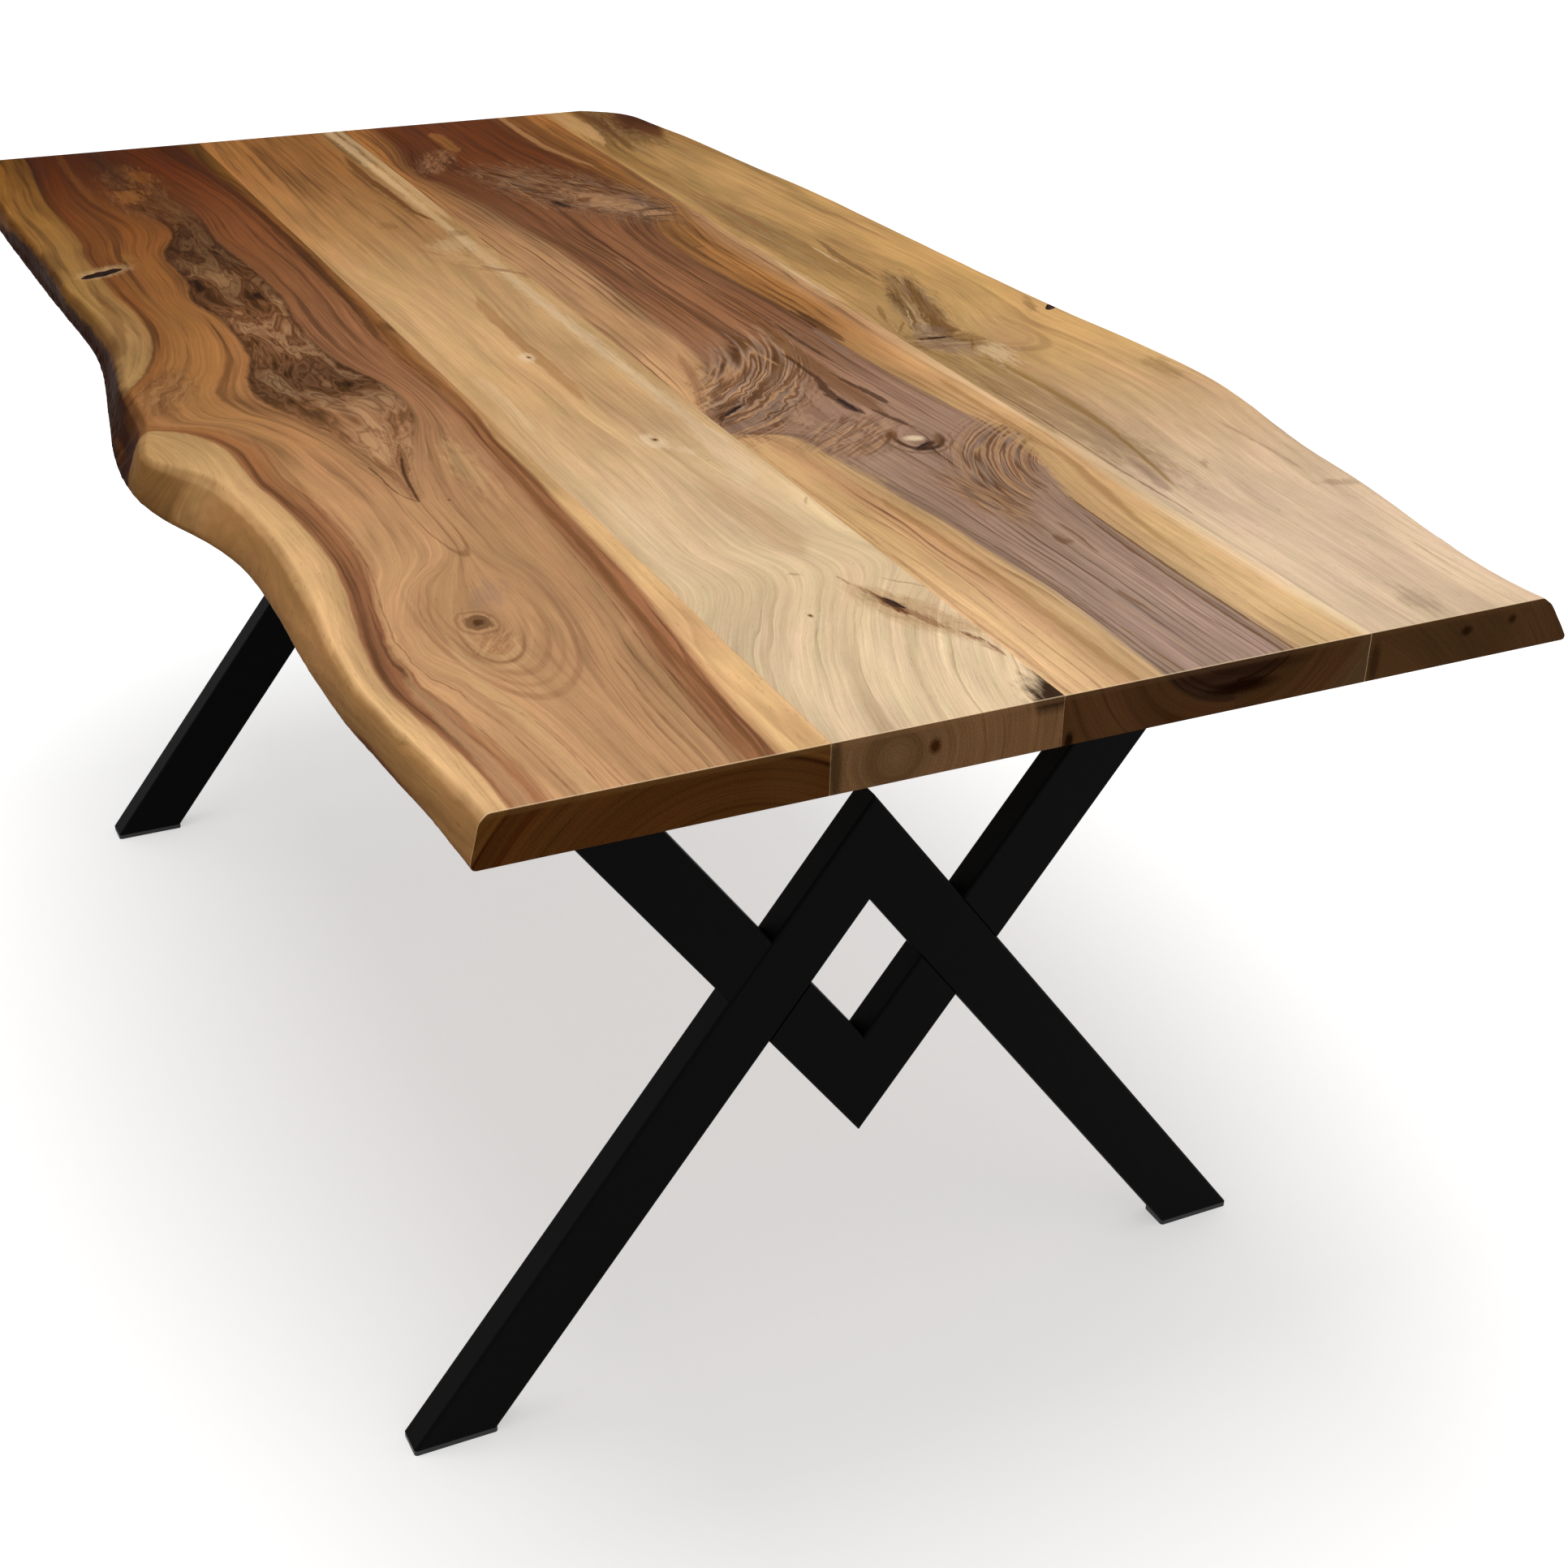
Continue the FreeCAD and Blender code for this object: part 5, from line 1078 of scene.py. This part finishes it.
    # End grain darkens the ends, and painted shade darkens them further.
    end_grain_and_shade = add("VectorMath.MULTIPLY", shade, figure["end"])
    end_grain_and_shade = add("VectorMath.SCALE", end_grain_and_shade, add("MapRange", end_pores, 0.35, 0.65, 0.8, 1.15))
    everywhere = 1e6
    for tone, strength, spot_y, spot_z, wide, high in figure["end_spots"]:
        inside = add("Mapping", place, (0, spot_y, spot_z), (0, 0, 0), (everywhere, wide / 2, high / 2),
                     vector_type="TEXTURE")
        inside = add("Math.MULTIPLY_ADD", end_pores, 0.8, add("VectorMath.LENGTH", inside))
        inside = add("Math.MULTIPLY", add("MapRange", inside, 1.6, 0.9), strength)
        end_grain_and_shade = add("Mix.RGBA", inside, end_grain_and_shade, tint(tone, 0.5))
    shade = add("Mix.RGBA", add("MapRange", ends, end - 0.8, end - 0.5), shade, end_grain_and_shade)

    height = add("Math.SUBTRACT", fibre, pores)
    bump = add("Bump", {"Strength": 0.25, "Distance": 0.15 * MM, "Height": height})
    sheen = add("MapRange", cloudy, 0.88, 1.12, 0.46, 0.54)
    # The oil has soaked in, so the wood has a satin feel but hardly any gloss.
    surface(add, Base_Color=shade, Roughness=sheen, Normal=bump, Specular_IOR_Level=0.003)
    return material


def crack_lining():
    """Weathered wood inside cracks, knot holes, mortises and bores, matt and darkened almost to black as painted
    shade, so each reads as a deep shadow.
    """
    name = "crack_lining_weathered_walnut"
    if name in bpy.data.materials:
        return bpy.data.materials[name]
    sizes = settings("table_boards")
    material, add = new_material(name)
    grain = add("TexNoise", {"Vector": counted_in(add, 3 * MM), "Scale": 1.0, "Detail": 4.0})
    surface(add, Base_Color=add("Mix.RGBA", grain, sizes.bark, sizes.smoke), Roughness=0.9)
    return material


def powder_coat():
    """Steel with a fine-textured powder coat: dull black, with a tight orange-peel texture that breaks up
    every reflection."""
    sizes = settings("table_metal")
    material, add = new_material("black_powder_coat_steel")
    spot = counted_in(add, sizes.orange_peel)
    peel = add("TexNoise", {"Vector": spot, "Scale": 1.0, "Detail": 2.0, "Roughness": 0.6})
    bump = add("Bump", {"Strength": 0.3, "Distance": 0.12 * MM, "Height": peel})
    dull = add("MapRange", peel, 0.3, 0.7, 0.55, 0.68)
    surface(add, Base_Color=tuple(sizes.powder), Roughness=dull, Normal=bump, Specular_IOR_Level=0.05)
    return material


def plain(name, tone, roughness, metallic=0.0, bumps=0.4):
    """A material of one tone whose gloss and surface vary finely. bumps is in millimetres."""
    material, add = new_material(name)
    spot = counted_in(add, bumps * MM)
    grit = add("TexNoise", {"Vector": spot, "Scale": 1.0, "Detail": 3.0, "Roughness": 0.6})
    gloss = add("MapRange", grit, 0.3, 0.7, roughness * 0.85, roughness * 1.15)
    shade = add("Mix.RGBA", grit, [c * 0.88 for c in tone], [min(c * 1.08, 1) for c in tone])
    bump = add("Bump", {"Strength": 0.4, "Distance": 0.03 * MM, "Height": grit})
    surface(add, Base_Color=shade, Roughness=gloss, Normal=bump, Metallic=metallic)
    return material


def dress(material, *starts):
    """Gives the CAD nodes whose names start so a finish, in their own material slots."""
    nodes = [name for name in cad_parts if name.startswith(starts)]
    if not nodes:
        raise RuntimeError(f"No node's name starts with {starts}")
    for name in nodes:
        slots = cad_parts[name].material_slots
        if not slots:
            raise RuntimeError(f"{name} has no material slot")
        for slot in slots:
            slot.material = material


# ---------------------------------------------------------------- operators


class BuildFrontLive(bpy.types.Operator):
    """Models the front board with its live edge"""

    bl_idname = "table.board_front_live"
    bl_label = "Front live board"

    def execute(self, context):
        build_board(
            "front_live", LIVE_FRONT, ("tenons_front_seam",),
            cracks=[(-357, -400, -64, 50, 15, 9)],
            side=FRONT, bark=(-0.72, 0.16),
        )
        return {"FINISHED"}


class BuildFrontInner(bpy.types.Operator):
    """Models the front inner board"""

    bl_idname = "table.board_front_inner"
    bl_label = "Front inner board"

    def execute(self, context):
        build_board(
            "front_inner", INNER_FRONT, ("tenons_front_seam", "tenons_middle_seam"),
            cracks=[(668, -36, 14, 24, 4, 2)],
        )
        return {"FINISHED"}


class BuildRearInner(bpy.types.Operator):
    """Models the rear inner board"""

    bl_idname = "table.board_rear_inner"
    bl_label = "Rear inner board"

    def execute(self, context):
        build_board(
            "rear_inner", INNER_REAR, ("tenons_middle_seam", "tenons_rear_seam"),
            cracks=[
                (272, 128, 4, 36, 6, 3), (388, 141, -60, 18, 4.5, 2), (248, 26, -50, 34, 5, 3),
                (-440, 129, 8, 26, 6, 3),
            ],
        )
        return {"FINISHED"}


class BuildRearLive(bpy.types.Operator):
    """Models the rear board with its live edge"""

    bl_idname = "table.board_rear_live"
    bl_label = "Rear live board"

    def execute(self, context):
        build_board(
            "rear_live", LIVE_REAR, ("tenons_rear_seam",),
            cracks=[(90, 450, -40, 20, 9, 5), (134, 296, 84, 22, 3.5, 2)],
            side=REAR,
        )
        return {"FINISHED"}


class DressTenons(bpy.types.Operator):
    """Finishes the loose tenons in beech"""

    bl_idname = "table.tenons"
    bl_label = "Loose tenons"

    def execute(self, context):
        # Beech straight from the saw: pale, dry and a little woolly.
        dress(plain("beech_sawn", settings("table_metal").beech, 0.6, bumps=1.2), "tenons_")
        return {"FINISHED"}


class DressFrames(bpy.types.Operator):
    """Finishes the leg frames and mounting plates in black powder coat"""

    bl_idname = "table.leg_frames"
    bl_label = "Leg frames and plates"

    def execute(self, context):
        dress(powder_coat(), "long_bar_", "upper_short_bar_", "lower_short_bar_", "mounting_plate_")
        return {"FINISHED"}


class DressCaps(bpy.types.Operator):
    """Finishes the foot caps in moulded nylon"""

    bl_idname = "table.foot_caps"
    bl_label = "Foot caps"

    def execute(self, context):
        # Nylon from a spark-eroded mould: black, with a soft gloss over a fine even grain.
        dress(plain("nylon_moulded_black", settings("table_metal").nylon, 0.5, bumps=0.7), "foot_cap_")
        return {"FINISHED"}


class DressFasteners(bpy.types.Operator):
    """Finishes the bolts, washers and threaded inserts"""

    bl_idname = "table.fasteners"
    bl_label = "Fasteners"

    def execute(self, context):
        # Black oxide is dark and slightly oily, zinc plate is bright with a faint haze, and turned brass
        # is warm and glossier.
        metal = settings("table_metal")
        dress(plain("steel_black_oxide", metal.oxide, 0.38, metallic=1.0), "frame_bolts_")
        dress(plain("steel_zinc_plated", metal.zinc, 0.32, metallic=1.0), "frame_washers_")
        dress(plain("brass_turned", metal.brass, 0.28, metallic=1.0), "threaded_inserts_")
        return {"FINISHED"}


def seen_directly(add):
    """1 where the camera looks straight, in a mirror or through glass, 0 where light falls."""
    rays = [add("LightPath", out=f"Is {kind} Ray") for kind in ("Camera", "Glossy", "Transmission")]
    return add("Math.MAXIMUM", add("Math.MAXIMUM", rays[0], rays[1]), rays[2])


def matt_pale_floor(tone):
    """Matt pale paint. Round the table it is seen lighter than it is lit, up to plain white, and the
    table's shadow stays."""
    material, add = new_material("matt_pale_floor")
    matt = add("BsdfDiffuse", (*tone, 1))
    away = add("VectorMath.LENGTH", add("VectorMath.MULTIPLY", add("TexCoord", out="Object"), (1.0, 1.3, 0)))
    # The lift grows away from the table, so the floor close round it stays darker as painted shade.
    lift = add("MapRange", away, 0.5, 2.2, 0.44, 0.8, **SOFT)
    lifted = add("AddShader", matt, add("Emission", (1, 1, 1, 1), lift))
    add("OutputMaterial", add("MixShader", seen_directly(add), matt, lifted))
    return material


class BuildStage(bpy.types.Operator):
    """Adds the floor, the lamps, the even light and the camera"""

    bl_idname = "table.stage"
    bl_label = "Stage"

    def execute(self, context):
        stage = settings("table_stage")
        scene = context.scene
        scene.view_settings.view_transform = "Standard"

        bpy.ops.object.select_all(action="DESELECT")
        bpy.ops.mesh.primitive_plane_add(size=FLOOR_WIDTH, location=(0, 0, 0))
        floor = placed("studio_floor")
        floor.data.materials.append(matt_pale_floor(stage.floor))

        world = scene.world = bpy.data.worlds.new("even_light")
        add = fresh_nodes(world)
        even = add("Background", (1, 1, 1, 1), stage.sky)
        white = add("Background", (1, 1, 1, 1), 1.0)
        add("OutputWorld", add("MixShader", seen_directly(add), even, white))

        softbox = bpy.data.lights.new("overhead_softbox", "AREA")
        softbox.shape = "RECTANGLE"
        softbox.size, softbox.size_y = LAMP_SIZE
        softbox.energy = stage.lamp
        lamp = bpy.data.objects.new("overhead_softbox", softbox)
        lamp.location = LAMP_PLACE
        lamp.rotation_euler = (Vector(LAMP_AIM) - lamp.location).to_track_quat("-Z", "Y").to_euler()
        scene.collection.objects.link(lamp)

        view = bpy.data.cameras.new("view")
        view.sensor_width = 36
        view.lens = stage.lens
        view.clip_end = 100
        camera = bpy.data.objects.new("view", view)
        ahead, right = Vector(CAMERA_AHEAD).normalized(), Vector(CAMERA_RIGHT).normalized()
        right = (right - ahead * right.dot(ahead)).normalized()
        turn = Matrix((right, right.cross(ahead), -ahead)).transposed().to_4x4()
        camera.matrix_world = Matrix.Translation(CAMERA_PLACE) @ turn
        scene.collection.objects.link(camera)
        scene.camera = camera
        return {"FINISHED"}


PIECES = (
    BuildFrontLive, BuildFrontInner, BuildRearInner, BuildRearLive, DressTenons, DressFrames, DressCaps,
    DressFasteners, BuildStage,
)
GROUPS = {"table_boards": TableBoards, "table_metal": TableMetal, "table_stage": TableStage}


class TablePanel(bpy.types.Panel):
    """Lists the table's sizes, colours and pieces"""

    bl_idname = "VIEW3D_PT_live_edge_table"
    bl_label = "Live Edge Table"
    bl_space_type = "VIEW_3D"
    bl_region_type = "UI"
    bl_category = "Table"

    def draw(self, context):
        for name, kind in GROUPS.items():
            box = self.layout.box()
            for field in kind.__annotations__:
                box.prop(getattr(context.scene, name), field)
        for piece in PIECES:
            self.layout.operator(piece.bl_idname)


def register():
    for kind in (*GROUPS.values(), *PIECES, TablePanel):
        bpy.utils.register_class(kind)
    for name, kind in GROUPS.items():
        setattr(bpy.types.Scene, name, bpy.props.PointerProperty(type=kind))


def unregister():
    for name in GROUPS:
        delattr(bpy.types.Scene, name)
    for kind in reversed((*GROUPS.values(), *PIECES, TablePanel)):
        bpy.utils.unregister_class(kind)


def main():
    register()
    for piece in PIECES:
        family, name = piece.bl_idname.split(".")
        getattr(getattr(bpy.ops, family), name)()


if __name__ == "__main__":
    main()
